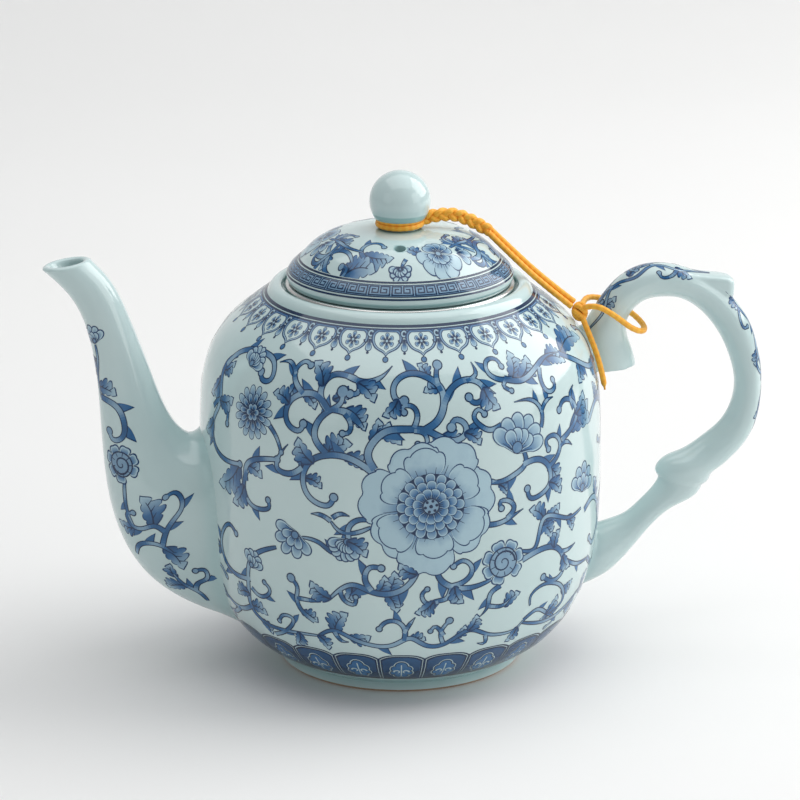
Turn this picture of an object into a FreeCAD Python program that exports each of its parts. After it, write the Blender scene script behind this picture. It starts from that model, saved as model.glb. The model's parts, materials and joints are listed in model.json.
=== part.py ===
"""Porcelain teapot with a lift-out steel infuser and a corded lid.

Row frame, millimetres: origin at the centre of the foot on the table, +Z up,
spout towards -X, handle towards +X. One STEP file is written per node.
"""

import math
import os

import FreeCAD
import Part

V = FreeCAD.Vector

# ---------------------------------------------------------------- driving values
# Pot
BELLY_R = 63.2
FOOT_R = 38.4
FOOT_H = 3.6
FOOT_WALL = 4.4
FOOT_RECESS = 3.0
FLOOR_Z = 7.2
POT_WALL = 4.4
SHOULDER_Z = 119.6
RING_R = 41.3
RING_H = 2.7
MOUTH_R = 36.6
LEDGE_H = 0.1
THROAT_R = 32.5
THROAT_DEPTH = 3.5
BASE_TOP_Z = 13.0
WALL_TOP_SHARE = 0.836

# Infuser
SEAT_GAP = 0.2
BEAD_D = 2.4
BEAD_R = 34.7
SHEET = 0.6
THROAT_CLEARANCE = 0.6
INFUSER_BOTTOM_R = 26.5
INFUSER_DEPTH = 57.7
PERF_D = 3.0
PERF_COLUMNS = 16
PERF_ROWS = 5
PERF_FIRST = 8.0
PERF_ROW_PITCH = 9.0
BASE_RING_PITCH = 7.6
BASE_RINGS = 3

# Lid and knob
LID_GAP = 0.2
LID_R = 35.3
LID_EDGE_H = 2.8
BAND_TOP_R = 31.6
BAND_TOP_H = 4.3
DOME_H = 9.6
DOME_FLAT_R = 6.5
LID_WALL = 3.8
FLANGE_CLEARANCE = 0.8
FLANGE_WALL = 2.5
FLANGE_DEPTH = 8.0
VENT_D = 3.6
VENT_AT_R = 20.0
VENT_DEG = -98.0
NECK_R = 5.8
NECK_H = 3.9
BALL_R = 9.5
KNOB_H = 18.1

# Spout
SPOUT_WALL = 2.6
SPOUT_MOUTH_LIP = 0.6
STRAINER_D = 4.0
STRAINER_Z = 44.0
STRAINER_PITCH = 7.5

# Cord
CORD_D = 1.9
BRAID_D = 4.4
WRAP_LIFT = 0.6

# The pattern on which spout, handle and strainer are drawn. A wider pot moves
# them outwards, and a taller one stretches their heights.
PATTERN_BELLY_R = 63.2
PATTERN_SHOULDER_Z = 119.6

# ---------------------------------------------------------------- derived values
OUTWARD = BELLY_R - PATTERN_BELLY_R
STRETCH = SHOULDER_Z / PATTERN_SHOULDER_Z
RING_TOP_Z = SHOULDER_Z + RING_H
LEDGE_Z = SHOULDER_Z + LEDGE_H
WALL_TOP_Z = SHOULDER_Z * WALL_TOP_SHARE
BEAD_Z = LEDGE_Z + SEAT_GAP + BEAD_D / 2
INFUSER_R = THROAT_R - THROAT_CLEARANCE
INFUSER_BOTTOM_Z = BEAD_Z - INFUSER_DEPTH
LID_Z = BEAD_Z + BEAD_D / 2 + LID_GAP
LID_WIDE_Z = LID_Z + LID_EDGE_H
BAND_TOP_Z = LID_WIDE_Z + BAND_TOP_H
LID_TOP_Z = BAND_TOP_Z + DOME_H
FLANGE_R = INFUSER_R - SHEET - FLANGE_CLEARANCE
WRAP_R = NECK_R + CORD_D
WRAP_Z = LID_TOP_Z + WRAP_LIFT
KNOB_TOP_Z = LID_TOP_Z + KNOB_H
BALL_Z = KNOB_TOP_Z - BALL_R

# Outer wall of the pot, foot to shoulder: shares of the belly radius and of
# the shoulder height.
BODY_SIDE = [
    (0.636, 0.0360),
    (0.767, 0.0836),
    (0.884, 0.1630),
    (0.968, 0.2843),
    (1.000, 0.4599),
    (0.996, 0.6689),
    (0.948, 0.8361),
    (0.873, 0.9030),
    (0.760, 0.9574),
]

# Spout stations in the XZ plane, mouth to root:
# (outer x, outer z, upper x, upper z, half depth).
SPOUT = [
    (-110.6, 129.8, -95.6, 132.2, 6.4),
    (-102.5, 121.1, -90.0, 125.6, 6.3),
    (-96.7, 106.8, -84.2, 113.2, 6.9),
    (-94.6, 91.0, -78.4, 97.0, 8.4),
    (-93.8, 75.0, -72.6, 82.0, 10.8),
    (-92.6, 60.0, -66.0, 75.0, 13.8),
    (-88.9, 44.3, -57.0, 74.5, 16.6),
    (-79.5, 28.8, -46.0, 74.0, 17.4),
    (-64.1, 18.2, -37.0, 72.0, 17.4),
    (-48.0, 12.0, -31.0, 68.0, 16.0),
]
SPOUT_BORE_STATIONS = 8
SPOUT_CUTS_Z = (60.0, 100.0)

# Handle stations in the XZ plane: (outer x, outer z, inner x, inner z, half depth).
GRIP = [
    (56.0, 91.6, 75.4, 91.9, 7.2),
    (56.0, 96.0, 74.3, 96.4, 6.9),
    (56.8, 101.5, 72.5, 101.6, 6.5),
    (60.0, 108.2, 72.1, 106.3, 6.2),
    (63.7, 114.0, 73.4, 109.4, 6.0),
    (69.2, 120.3, 76.4, 112.4, 6.0),
    (75.8, 124.0, 79.7, 113.7, 6.0),
    (82.4, 124.8, 83.6, 114.0, 6.0),
    (89.2, 123.6, 88.6, 113.4, 6.0),
    (96.6, 120.4, 94.2, 110.4, 6.0),
    (103.4, 115.6, 98.8, 105.8, 6.0),
    (109.4, 108.8, 102.6, 100.2, 6.0),
    (113.6, 100.0, 105.6, 93.4, 5.9),
    (115.8, 89.0, 107.4, 86.0, 5.8),
    (115.6, 77.5, 106.8, 79.0, 5.8),
    (112.4, 67.0, 103.2, 72.0, 5.9),
    (107.0, 60.4, 97.2, 66.9, 6.2),
    (102.8, 56.9, 90.2, 62.6, 6.6),
    (100.4, 54.8, 84.4, 60.0, 6.9),
    (99.6, 52.8, 82.3, 56.6, 6.6),
    (97.6, 51.6, 84.0, 53.9, 5.6),
]
STEM = [
    (98.6, 54.0, 84.4, 56.0, 5.2),
    (96.4, 48.9, 82.6, 52.2, 5.3),
    (88.6, 44.5, 77.7, 46.6, 5.0),
    (80.0, 37.0, 72.9, 42.5, 5.0),
    (73.2, 29.0, 67.8, 40.6, 6.0),
    (66.4, 23.0, 61.6, 39.0, 7.6),
    (58.6, 19.4, 55.0, 38.4, 8.6),
]
EGG = 0.14
SPAN = 8

# Thumb lip standing over the top of the grip, outline in the XZ plane.
LIP = [
    (90.0, 122.6),
    (97.0, 121.2),
    (103.6, 120.3),
    (105.9, 119.2),
    (106.2, 117.2),
    (105.7, 113.4),
    (98.0, 113.0),
    (90.0, 116.5),
]
LIP_HALF_DEPTH = 4.6
LIP_SHARES = [(-1.0, 0.72), (-0.82, 0.93), (-0.4, 1.0), (0.4, 1.0), (0.82, 0.93), (1.0, 0.72)]

# Cord routes, row frame.
BRAID_ROUTE = [
    (6.2, -0.6, 141.8),
    (12.6, -0.9, 143.6),
    (20.6, -1.2, 142.4),
    (28.2, -1.4, 137.2),
]
STRAND_A_ROUTE = [
    (27.2, -2.3, 137.4),
    (33.0, -2.3, 131.4),
    (44.0, -3.0, 120.6),
    (53.7, -3.8, 112.8),
]
STRAND_B_ROUTE = [
    (27.9, -0.7, 138.3),
    (34.0, -0.7, 132.2),
    (45.0, -1.4, 121.6),
    (54.8, -2.3, 113.9),
]
KNOT_CENTRE = (56.3, -4.0, 110.9)
KNOT_RADII = (2.7, 2.6, 3.3)
LOOP_ROUTE = [
    (57.2, -5.2, 112.6),
    (60.2, -8.6, 114.6),
    (66.4, -9.3, 110.9),
    (72.6, -8.9, 105.8),
    (77.2, -4.8, 104.0),
    (78.0, 2.8, 104.7),
    (74.2, 8.8, 107.6),
    (67.0, 9.4, 111.4),
    (60.2, 6.8, 113.0),
    (57.0, -2.6, 111.9),
]
TAIL_ROUTE = [
    (56.9, -5.4, 109.4),
    (58.4, -8.8, 105.2),
    (60.8, -10.9, 98.6),
    (62.6, -11.6, 91.4),
    (63.2, -11.7, 87.6),
]


# ---------------------------------------------------------------- helpers
def line(a, b):
    """A straight edge between two (r, z) points of a profile."""
    return Part.LineSegment(V(a[0], 0, a[1]), V(b[0], 0, b[1])).toShape()


def spline(points):
    """A smooth edge through (r, z) points of a profile."""
    curve = Part.BSplineCurve()
    curve.interpolate([V(r, 0, z) for r, z in points])
    return curve.toShape()


def chain(points):
    """Straight edges through the points in order."""
    return [line(a, b) for a, b in zip(points, points[1:])]


def turned(edges):
    """The solid of revolution about Z of one closed profile."""
    face = Part.Face(Part.Wire(edges))
    solid = face.revolve(V(0, 0, 0), V(0, 0, 1), 360)
    if solid.Volume < 0:
        solid.reverse()
    return solid


def inward(points, wall):
    """The points moved inwards by the wall, square to the run of their neighbours."""
    moved = []
    for before, here, after in zip(points, points[1:], points[2:]):
        dr = after[0] - before[0]
        dz = after[1] - before[1]
        length = math.hypot(dr, dz)
        moved.append((here[0] - wall * dz / length, here[1] + wall * dr / length))
    return moved


def placed(x, z):
    """A point of the pattern moved to this pot's width and height."""
    return V(x + math.copysign(OUTWARD, x), 0, z * STRETCH)


def section(station, egg, inset=0.0):
    """A closed smooth section standing on one station, wider on its outer side."""
    ox, oz, ix, iz, depth = station
    outer = placed(ox, oz)
    inner = placed(ix, iz)
    centre = (outer + inner) / 2
    half = (outer - inner) / 2
    unit = V(half).normalize()
    half = half - unit * inset
    points = []
    for step in range(12):
        turn = 2 * math.pi * step / 12
        across = (depth - inset) * math.sin(turn) * (1 + egg * math.cos(turn))
        points.append(centre + half * math.cos(turn) + V(0, across, 0))
    speed = V(0, (depth - inset) * (1 + egg) * math.pi / 6, 0)
    curve = Part.BSplineCurve()
    curve.interpolate(
        Points=points + points[:1],
        Parameters=list(range(13)),
        InitialTangent=speed,
        FinalTangent=speed,
        Scale=False,
    )
    return Part.Wire([curve.toShape()])


def lofted(stations, egg, inset=0.0):
    """A smooth solid through every station, in spans that meet on a shared section."""
    spans = []
    for first in range(0, len(stations) - 1, SPAN):
        wires = [section(s, egg, inset) for s in stations[first:first + SPAN + 1]]
        solid = Part.makeLoft(wires, True, False)
        if solid.Volume < 0:
            solid.reverse()
        spans.append(solid)
    return spans[0].fuse(spans[1:]) if spans[1:] else spans[0]


def rounded_wire(route):
    """Straight runs joined by tangent arcs, with the arcs' radii."""
    points = [V(*p) for p in route]
    edges = []
    radii = []
    start = points[0]
    for before, here, after in zip(points, points[1:], points[2:]):
        into = (here - before).normalize()
        out = (after - here).normalize()
        half_turn = into.getAngle(out) / 2
        setback = 0.45 * min((here - before).Length, (after - here).Length)
        radius = setback / math.tan(half_turn)
        begin = here - into * setback
        end = here + out * setback
        to_centre = (out - into).normalize()
        centre = here + to_centre * (radius / math.cos(half_turn))
        middle = centre - to_centre * radius
        edges.append(Part.LineSegment(start, begin).toShape())
        edges.append(Part.Arc(begin, middle, end).toShape())
        radii.append(radius)
        start = end
    edges.append(Part.LineSegment(start, points[-1]).toShape())
    return Part.Wire(edges), radii


def tube(name, route, diameter):
    """A round cord along the route; prints its bend radii and its volume."""
    wire, radii = rounded_wire(route)
    first = V(*route[1]) - V(*route[0])
    ring = Part.Wire([Part.Circle(V(*route[0]), first, diameter / 2).toShape()])
    solid = wire.makePipeShell([ring], True, True)
    if solid.Volume < 0:
        solid.reverse()
    expected = math.pi * diameter**2 / 4 * wire.Length
    text = ", ".join(f"{r:.1f}" for r in radii)
    print(f"{name}: length {wire.Length:.1f} mm, radii {text} mm")
    print(f"{name}: volume {solid.Volume:.1f}, section x length {expected:.1f} mm3")
    return solid


def drill(x, y, z, direction, diameter, length):
    """A round cutter centred on the point."""
    axis = V(*direction).normalize()
    return Part.makeCylinder(diameter / 2, length, V(x, y, z) - axis * (length / 2), axis)


def slab(low, high):
    """A wide block between two heights, for parting a piece by level cuts."""
    return Part.makeBox(800, 800, high - low, V(-400, -400, low))


def one_solid(shape):
    """The largest solid of a shape, for cuts that leave crumbs."""
    return max(shape.Solids, key=lambda s: s.Volume)


# ---------------------------------------------------------------- pot
def body_outer_points():
    """The outer wall in (r, z), foot to ring."""
    return [(r * BELLY_R, z * SHOULDER_Z) for r, z in BODY_SIDE] + [(RING_R, SHOULDER_Z)]


def body_blank():
    """The pot as if it were filled, up to the ring's foot."""
    side = body_outer_points()
    edges = chain([(RING_R, SHOULDER_Z), (0, SHOULDER_Z), (0, 0), (FOOT_R, 0), (FOOT_R, FOOT_H), side[0]])
    return turned(edges + [spline(side)])


def make_pot():
    """Base, strainer wall and shoulder of the pot, parted by level cuts."""
    side = body_outer_points()
    foot_in = FOOT_R - FOOT_WALL
    ring = [
        (RING_R, SHOULDER_Z),
        (RING_R - 0.9, RING_TOP_Z - 1.1),
        (RING_R - 2.7, RING_TOP_Z),
        (MOUTH_R + 0.5, RING_TOP_Z - 0.3),
        (MOUTH_R, RING_TOP_Z - 1.2),
    ]
    inside = inward(side, POT_WALL)[::-1]
    cavity = [(THROAT_R, LEDGE_Z - THROAT_DEPTH)] + inside + [(FOOT_R - 5.0, FLOOR_Z)]
    edges = chain([(0, FOOT_RECESS), (foot_in, FOOT_RECESS), (foot_in, 0.6), (foot_in + 0.6, 0)])
    edges += chain([(foot_in + 0.6, 0), (FOOT_R - 0.8, 0), (FOOT_R, 0.8), (FOOT_R, FOOT_H), side[0]])
    edges += [spline(side), spline(ring)]
    edges += chain([ring[-1], (MOUTH_R, LEDGE_Z), (THROAT_R, LEDGE_Z), cavity[0]])
    edges += [spline(cavity)]
    edges += chain([cavity[-1], (0, FLOOR_Z), (0, FOOT_RECESS)])
    pot = turned(edges)
    holes = []
    for row in range(-2, 3):
        count = 3 - row % 2
        for column in range(count):
            y = (column - (count - 1) / 2) * STRAINER_PITCH
            z = STRAINER_Z * STRETCH + row * STRAINER_PITCH * 0.866
            holes.append(drill(-BELLY_R, y, z, (1, 0, 0), STRAINER_D, 26))
    pot = pot.cut(Part.makeCompound(holes))
    base = pot.common(slab(-1, BASE_TOP_Z))
    wall = pot.common(slab(BASE_TOP_Z, WALL_TOP_Z))
    shoulder = pot.common(slab(WALL_TOP_Z, RING_TOP_Z + 20))
    return one_solid(base), one_solid(wall), one_solid(shoulder)


def make_spout(blank):
    """The curved spout, bored from mouth to pot wall: root, neck and lip."""
    bore = lofted(SPOUT[:SPOUT_BORE_STATIONS], 0.0, SPOUT_WALL)
    outer = placed(SPOUT[0][0], SPOUT[0][1])
    inner = placed(SPOUT[0][2], SPOUT[0][3])
    top = (outer + inner) / 2
    across = inner - outer
    normal = V(-across.z, 0, across.x).normalize()
    cap_r = across.Length / 2 - SPOUT_WALL - SPOUT_MOUTH_LIP
    cap = Part.makeCylinder(cap_r, 3, top - normal * 1.5, normal)
    spout = one_solid(lofted(SPOUT, 0.0).cut(blank).cut(bore).cut(cap))
    low, high = (z * STRETCH for z in SPOUT_CUTS_Z)
    levels = (slab(-1, low), slab(low, high), slab(high, high + 400))
    return [one_solid(spout.common(level)) for level in levels]


def lip_outline(y, size):
    """The thumb lip's outline at a depth, shrunk about its middle."""
    corners = [placed(x, z) for x, z in LIP]
    middle = sum(corners, V()) / len(corners)
    points = [middle + (corner - middle) * size + V(0, y, 0) for corner in corners]
    curve = Part.BSplineCurve()
    curve.interpolate(Points=points, PeriodicFlag=True)
    return Part.Wire([curve.toShape()])


def make_handle(blank):
    """Grip, thumb lip and lower stem, fused as one casting."""
    rings = [lip_outline(share * LIP_HALF_DEPTH, size) for share, size in LIP_SHARES]
    lip = Part.makeLoft(rings, True, False)
    handle = lofted(GRIP, EGG).fuse([lofted(STEM, EGG), lip])
    return one_solid(handle.cut(blank))


# ---------------------------------------------------------------- infuser
def wall_radius(z, outer=True):
    """The tapered infuser wall's radius at a height."""
    top = BEAD_Z - 0.8
    share = (z - INFUSER_BOTTOM_Z) / (top - INFUSER_BOTTOM_Z)
    radius = INFUSER_BOTTOM_R + (INFUSER_R - INFUSER_BOTTOM_R) * share
    return radius if outer else radius - SHEET


def make_infuser():
    """Rim, perforated wall and perforated base of the infuser."""
    flange_z = BEAD_Z - 0.8
    bead = Part.makeTorus(BEAD_R, BEAD_D / 2, V(0, 0, BEAD_Z), V(0, 0, 1))
    plate = Part.makeCylinder(BEAD_R, SHEET, V(0, 0, flange_z))
    plate = plate.cut(Part.makeCylinder(INFUSER_R - SHEET, SHEET, V(0, 0, flange_z)))
    rim = one_solid(plate.fuse(bead))
    bottom = INFUSER_BOTTOM_Z
    profile = [
        (wall_radius(bottom, False), bottom),
        (wall_radius(bottom), bottom),
        (wall_radius(flange_z), flange_z),
        (wall_radius(flange_z, False), flange_z),
    ]
    wall = turned(chain(profile + profile[:1]))
    cutters = []
    for row in range(PERF_ROWS):
        z = bottom + PERF_FIRST + row * PERF_ROW_PITCH
        for column in range(PERF_COLUMNS):
            turn = 2 * math.pi * (column + 0.5 * (row % 2)) / PERF_COLUMNS
            r = wall_radius(z)
            out = (math.cos(turn), math.sin(turn), 0)
            cutters.append(drill(r * out[0], r * out[1], z, out, PERF_D, 4))
    wall = wall.cut(Part.makeCompound(cutters))
    base = Part.makeCylinder(wall_radius(bottom, False), SHEET, V(0, 0, bottom))
    cutters = [drill(0, 0, bottom, (0, 0, 1), PERF_D, 4)]
    for ring in range(1, BASE_RINGS + 1):
        for step in range(6 * ring):
            turn = 2 * math.pi * step / (6 * ring)
            r = BASE_RING_PITCH * ring
            cutters.append(drill(r * math.cos(turn), r * math.sin(turn), bottom, (0, 0, 1), PERF_D, 4))
    base = base.cut(Part.makeCompound(cutters))
    return rim, wall, base


# ---------------------------------------------------------------- lid
def dome_z(r, drop=0.0):
    """Height of the lid's dome at a radius, or of a surface below it."""
    return LID_TOP_Z - drop - DOME_H * (r / BAND_TOP_R) ** 4


def make_lid():
    """The domed lid with its steam vent, and the locating flange under it."""
    edge = [(LID_R - 0.8, LID_Z), (LID_R - 0.2, LID_Z + 1.0), (LID_R, LID_WIDE_Z)]
    crown = [(LID_R, LID_WIDE_Z), (LID_R - 1.1, LID_WIDE_Z + 1.9), (BAND_TOP_R, BAND_TOP_Z)]
    crown += [(r, dome_z(r)) for r in (28.4, 25.0, 21.0, 16.0, 11.0)]
    crown += [(DOME_FLAT_R, LID_TOP_Z)]
    under = [(r, dome_z(r, LID_WALL)) for r in (0.0, 9.0, 15.0, 20.0, 24.0)]
    under += [(FLANGE_R - FLANGE_WALL, LID_Z + 2.5)]
    edges = [spline(edge), spline(crown)]
    edges += chain([crown[-1], (0, LID_TOP_Z), under[0]])
    edges += [spline(under)]
    edges += chain([under[-1], (under[-1][0], LID_Z), edge[0]])
    lid = turned(edges)
    low = LID_Z - FLANGE_DEPTH
    flange = Part.makeCylinder(FLANGE_R, FLANGE_DEPTH, V(0, 0, low))
    flange = flange.cut(Part.makeCylinder(FLANGE_R - FLANGE_WALL, FLANGE_DEPTH, V(0, 0, low)))
    turn = math.radians(VENT_DEG)
    x = VENT_AT_R * math.cos(turn)
    y = VENT_AT_R * math.sin(turn)
    return lid.cut(drill(x, y, dome_z(VENT_AT_R), (0, 0, 1), VENT_D, 16)), flange


def make_knob():
    """The ball knob on its short neck, standing on the crown."""
    under_z = LID_TOP_Z + NECK_H + 0.6
    under_r = math.sqrt(BALL_R**2 - (BALL_Z - under_z) ** 2)
    start = V(under_r, 0, under_z)
    middle = V(BALL_R, 0, BALL_Z)
    arc = Part.Arc(start, middle, V(0, 0, KNOB_TOP_Z)).toShape()
    edges = chain([(0, KNOB_TOP_Z), (0, LID_TOP_Z), (NECK_R, LID_TOP_Z), (NECK_R, under_z - 0.5)])
    edges += [line((NECK_R, under_z - 0.5), (under_r, under_z)), arc]
    return turned(edges)


def make_wrap():
    """Outer shape of two stacked turns of cord around the neck."""
    inner = NECK_R
    low = WRAP_Z
    high = WRAP_Z + 2 * CORD_D - 0.3
    r = CORD_D / 2
    edges = chain([(inner + r, high), (inner, high - 0.3), (inner, low + 0.3), (inner + r, low)])
    waist = (WRAP_R - 0.15, (low + high) / 2)
    edges.append(spline([(inner + r, low), (WRAP_R, low + r), waist, (WRAP_R, high - r), (inner + r, high)]))
    return turned(edges)


def make_knot():
    """Outer shape of the overhand knot beside the handle root."""
    ball = Part.makeSphere(1.0)
    matrix = FreeCAD.Matrix()
    matrix.scale(V(*KNOT_RADII))
    knot = ball.transformGeometry(matrix)
    knot.translate(V(*KNOT_CENTRE))
    return knot


# ---------------------------------------------------------------- build
def build():
    """Every node of the teapot by name."""
    blank = body_blank()
    pot_base, pot_wall, pot_shoulder = make_pot()
    spout_root, spout_neck, spout_lip = make_spout(blank)
    lid, flange = make_lid()
    rim, wall, base = make_infuser()
    handle = make_handle(blank)
    knob = make_knob()
    wrap = make_wrap()
    braid = tube("cord_braid", BRAID_ROUTE, BRAID_D)
    braid = one_solid(braid.cut(Part.makeCompound([wrap, knob])))
    knot = one_solid(make_knot().cut(blank))
    strand_a = tube("cord_strand_a", STRAND_A_ROUTE, CORD_D)
    strand_b = tube("cord_strand_b", STRAND_B_ROUTE, CORD_D)
    loop = tube("cord_handle_loop", LOOP_ROUTE, CORD_D)
    tail = tube("cord_tail", TAIL_ROUTE, CORD_D)
    return {
        "pot_base": pot_base,
        "pot_body": pot_wall,
        "pot_shoulder": pot_shoulder,
        "spout_root": spout_root,
        "spout_neck": spout_neck,
        "spout_lip": spout_lip,
        "handle": handle,
        "infuser_rim": rim,
        "infuser_wall": wall,
        "infuser_base": base,
        "lid": lid,
        "lid_flange": flange,
        "lid_knob": knob,
        "cord_neck_wrap": wrap,
        "cord_braid": braid,
        "cord_strand_a": one_solid(strand_a.cut(braid)),
        "cord_strand_b": one_solid(strand_b.cut(braid)),
        "cord_handle_knot": knot,
        "cord_handle_loop": one_solid(loop.cut(knot)),
        "cord_tail": one_solid(tail.cut(knot)),
    }


os.makedirs("parts", exist_ok=True)
for node, shape in build().items():
    shape.exportStep(f"parts/{node}.step")
    print(node, f"{shape.Volume:.0f} mm3", "valid" if shape.isValid() else "NOT VALID")
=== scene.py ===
"""Looks of a celadon porcelain teapot with underglaze cobalt painting.

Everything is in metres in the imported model's frame: +Z up, spout towards -X,
handle towards +X. Painting is laid out flat in millimetres and carried onto
the glazed surfaces as real faces.
"""

import json
import logging
import math
from dataclasses import dataclass, field
from enum import Enum
from typing import Any, Callable, Iterable, Optional, Sequence

import bpy
import numpy as np
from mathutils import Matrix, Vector
from mathutils.bvhtree import BVHTree
from mathutils.geometry import delaunay_2d_cdt

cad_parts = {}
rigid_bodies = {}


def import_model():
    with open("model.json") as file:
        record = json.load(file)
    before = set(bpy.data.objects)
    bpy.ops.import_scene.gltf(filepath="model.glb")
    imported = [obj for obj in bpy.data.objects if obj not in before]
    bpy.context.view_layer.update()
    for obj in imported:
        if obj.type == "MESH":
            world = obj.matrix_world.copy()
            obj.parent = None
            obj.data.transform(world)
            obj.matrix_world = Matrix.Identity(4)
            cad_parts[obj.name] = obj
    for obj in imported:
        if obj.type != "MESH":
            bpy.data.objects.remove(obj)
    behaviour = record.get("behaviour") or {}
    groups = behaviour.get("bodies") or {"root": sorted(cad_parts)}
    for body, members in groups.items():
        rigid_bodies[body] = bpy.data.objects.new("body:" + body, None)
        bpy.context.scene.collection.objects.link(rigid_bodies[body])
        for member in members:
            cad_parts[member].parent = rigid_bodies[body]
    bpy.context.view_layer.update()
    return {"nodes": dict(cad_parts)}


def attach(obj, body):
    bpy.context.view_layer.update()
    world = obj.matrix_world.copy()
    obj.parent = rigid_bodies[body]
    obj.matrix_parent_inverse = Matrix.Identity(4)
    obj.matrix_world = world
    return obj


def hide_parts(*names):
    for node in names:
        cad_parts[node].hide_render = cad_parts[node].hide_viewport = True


LOG = logging.getLogger("teapot")
MM = 0.001
TAU = 2 * math.pi
Point = tuple[float, float]
Point3 = tuple[float, float, float]
Rgb = tuple[float, float, float]


# ------------------------------------------------------------------ shader kit
class Sock:
    """A shader socket or number that can be used in arithmetic."""

    def __init__(self, tree: bpy.types.NodeTree, value: Any) -> None:
        """Wraps a socket of the tree, or a plain number."""
        self.tree = tree
        self.value = value

    def _math(self, operation: str, *others: Any) -> "Sock":
        """Adds one Math node.

        Args:
            operation: the Math node's operation.
            others: further operands.

        Returns:
            The node's output.
        """
        node = self.tree.nodes.new("ShaderNodeMath")
        node.operation = operation
        for slot, item in zip(node.inputs, (self, *others)):
            item = item.value if isinstance(item, Sock) else item
            if isinstance(item, bpy.types.NodeSocket):
                self.tree.links.new(item, slot)
            else:
                slot.default_value = item
        return Sock(self.tree, node.outputs[0])

    def __add__(self, other: Any) -> "Sock":
        """Sum."""
        return self._math("ADD", other)

    def __radd__(self, other: Any) -> "Sock":
        """Reflected sum."""
        return self._math("ADD", other)

    def __mul__(self, other: Any) -> "Sock":
        """Product."""
        return self._math("MULTIPLY", other)

    def __rmul__(self, other: Any) -> "Sock":
        """Reflected product."""
        return self._math("MULTIPLY", other)

    def __sub__(self, other: Any) -> "Sock":
        """Difference."""
        return self._math("SUBTRACT", other)

    def __rsub__(self, other: Any) -> "Sock":
        """Reflected difference."""
        return Sock(self.tree, other)._math("SUBTRACT", self)

    def clamped(self) -> "Sock":
        """The value held between 0 and 1."""
        return self._math("MINIMUM", 1.0)._math("MAXIMUM", 0.0)


class Shader:
    """One node material built from a Principled surface."""

    def __init__(self, name: str) -> None:
        """Starts a material of that name with an empty Principled surface."""
        self.material = bpy.data.materials.new(name)
        self.material.use_nodes = True
        self.tree = self.material.node_tree
        self.surface = self.tree.nodes["Principled BSDF"]

    def node(self, kind: str, settings: Optional[dict[str, Any]] = None, **sockets: Any) -> bpy.types.Node:
        """Adds any node.

        Args:
            kind: the node's type.
            settings: its properties; "stops" fills a colour ramp.
            sockets: values or links by socket name, spaces as underscores.

        Returns:
            The node.
        """
        node = self.tree.nodes.new(kind)
        for key, value in (settings or {}).items():
            if key == "stops":
                elements = node.color_ramp.elements
                while len(elements) > 1:
                    elements.remove(elements[-1])
                for number, (at, colour) in enumerate(value):
                    element = elements[0] if number == 0 else elements.new(at)
                    element.position = at
                    element.color = (*colour, 1.0)
            else:
                setattr(node, key, value)
        for key, value in sockets.items():
            self.feed(node.inputs[key.replace("_", " ")], value)
        return node

    def feed(self, socket: bpy.types.NodeSocket, value: Any) -> None:
        """Links or sets one input socket."""
        value = value.value if isinstance(value, Sock) else value
        if isinstance(value, bpy.types.NodeSocket):
            self.tree.links.new(value, socket)
        elif isinstance(value, (tuple, list)) and len(value) == 3 and socket.type == "RGBA":
            socket.default_value = (*value, 1.0)
        else:
            socket.default_value = value

    def place(self) -> bpy.types.NodeSocket:
        """Object coordinates."""
        return self.node("ShaderNodeTexCoord").outputs["Object"]

    def attribute(self, name: str) -> Sock:
        """A number stored on the mesh."""
        return Sock(self.tree, self.node("ShaderNodeAttribute", {"attribute_name": name}).outputs["Fac"])

    def noise(self, scale: float, detail: float = 3.0, rough: float = 0.5) -> Sock:
        """Soft noise over the object, from 0 to 1."""
        node = self.node("ShaderNodeTexNoise", Vector=self.place(), Scale=scale, Detail=detail, Roughness=rough)
        return Sock(self.tree, node.outputs["Fac"])

    def ramp(self, value: Sock, stops: Sequence[tuple[float, Rgb]]) -> bpy.types.NodeSocket:
        """A colour read off a ramp."""
        return self.node("ShaderNodeValToRGB", {"stops": stops}, Fac=value).outputs["Color"]

    def mixed(self, share: Any, low: Any, high: Any) -> bpy.types.NodeSocket:
        """Two colours mixed by a share."""
        node = self.node("ShaderNodeMix", {"data_type": "RGBA"})
        self.feed(node.inputs[0], share)
        self.feed(node.inputs[6], low)
        self.feed(node.inputs[7], high)
        return node.outputs[2]

    def bump(self, height: Sock, distance: float, strength: float = 1.0) -> bpy.types.NodeSocket:
        """A bumped normal; distance in metres."""
        bump = self.node("ShaderNodeBump", Height=height, Distance=distance, Strength=strength)
        return bump.outputs["Normal"]

    def finish(self, **sockets: Any) -> bpy.types.Material:
        """Feeds the surface's sockets and gives the material."""
        for key, value in sockets.items():
            self.feed(self.surface.inputs[key.replace("_", " ")], value)
        return self.material


def srgb(red: int, green: int, blue: int) -> Rgb:
    """A display colour as linear numbers."""
    return tuple((c / 255 / 12.92) if c <= 10 else ((c / 255 + 0.055) / 1.055) ** 2.4
                 for c in (red, green, blue))


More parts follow.
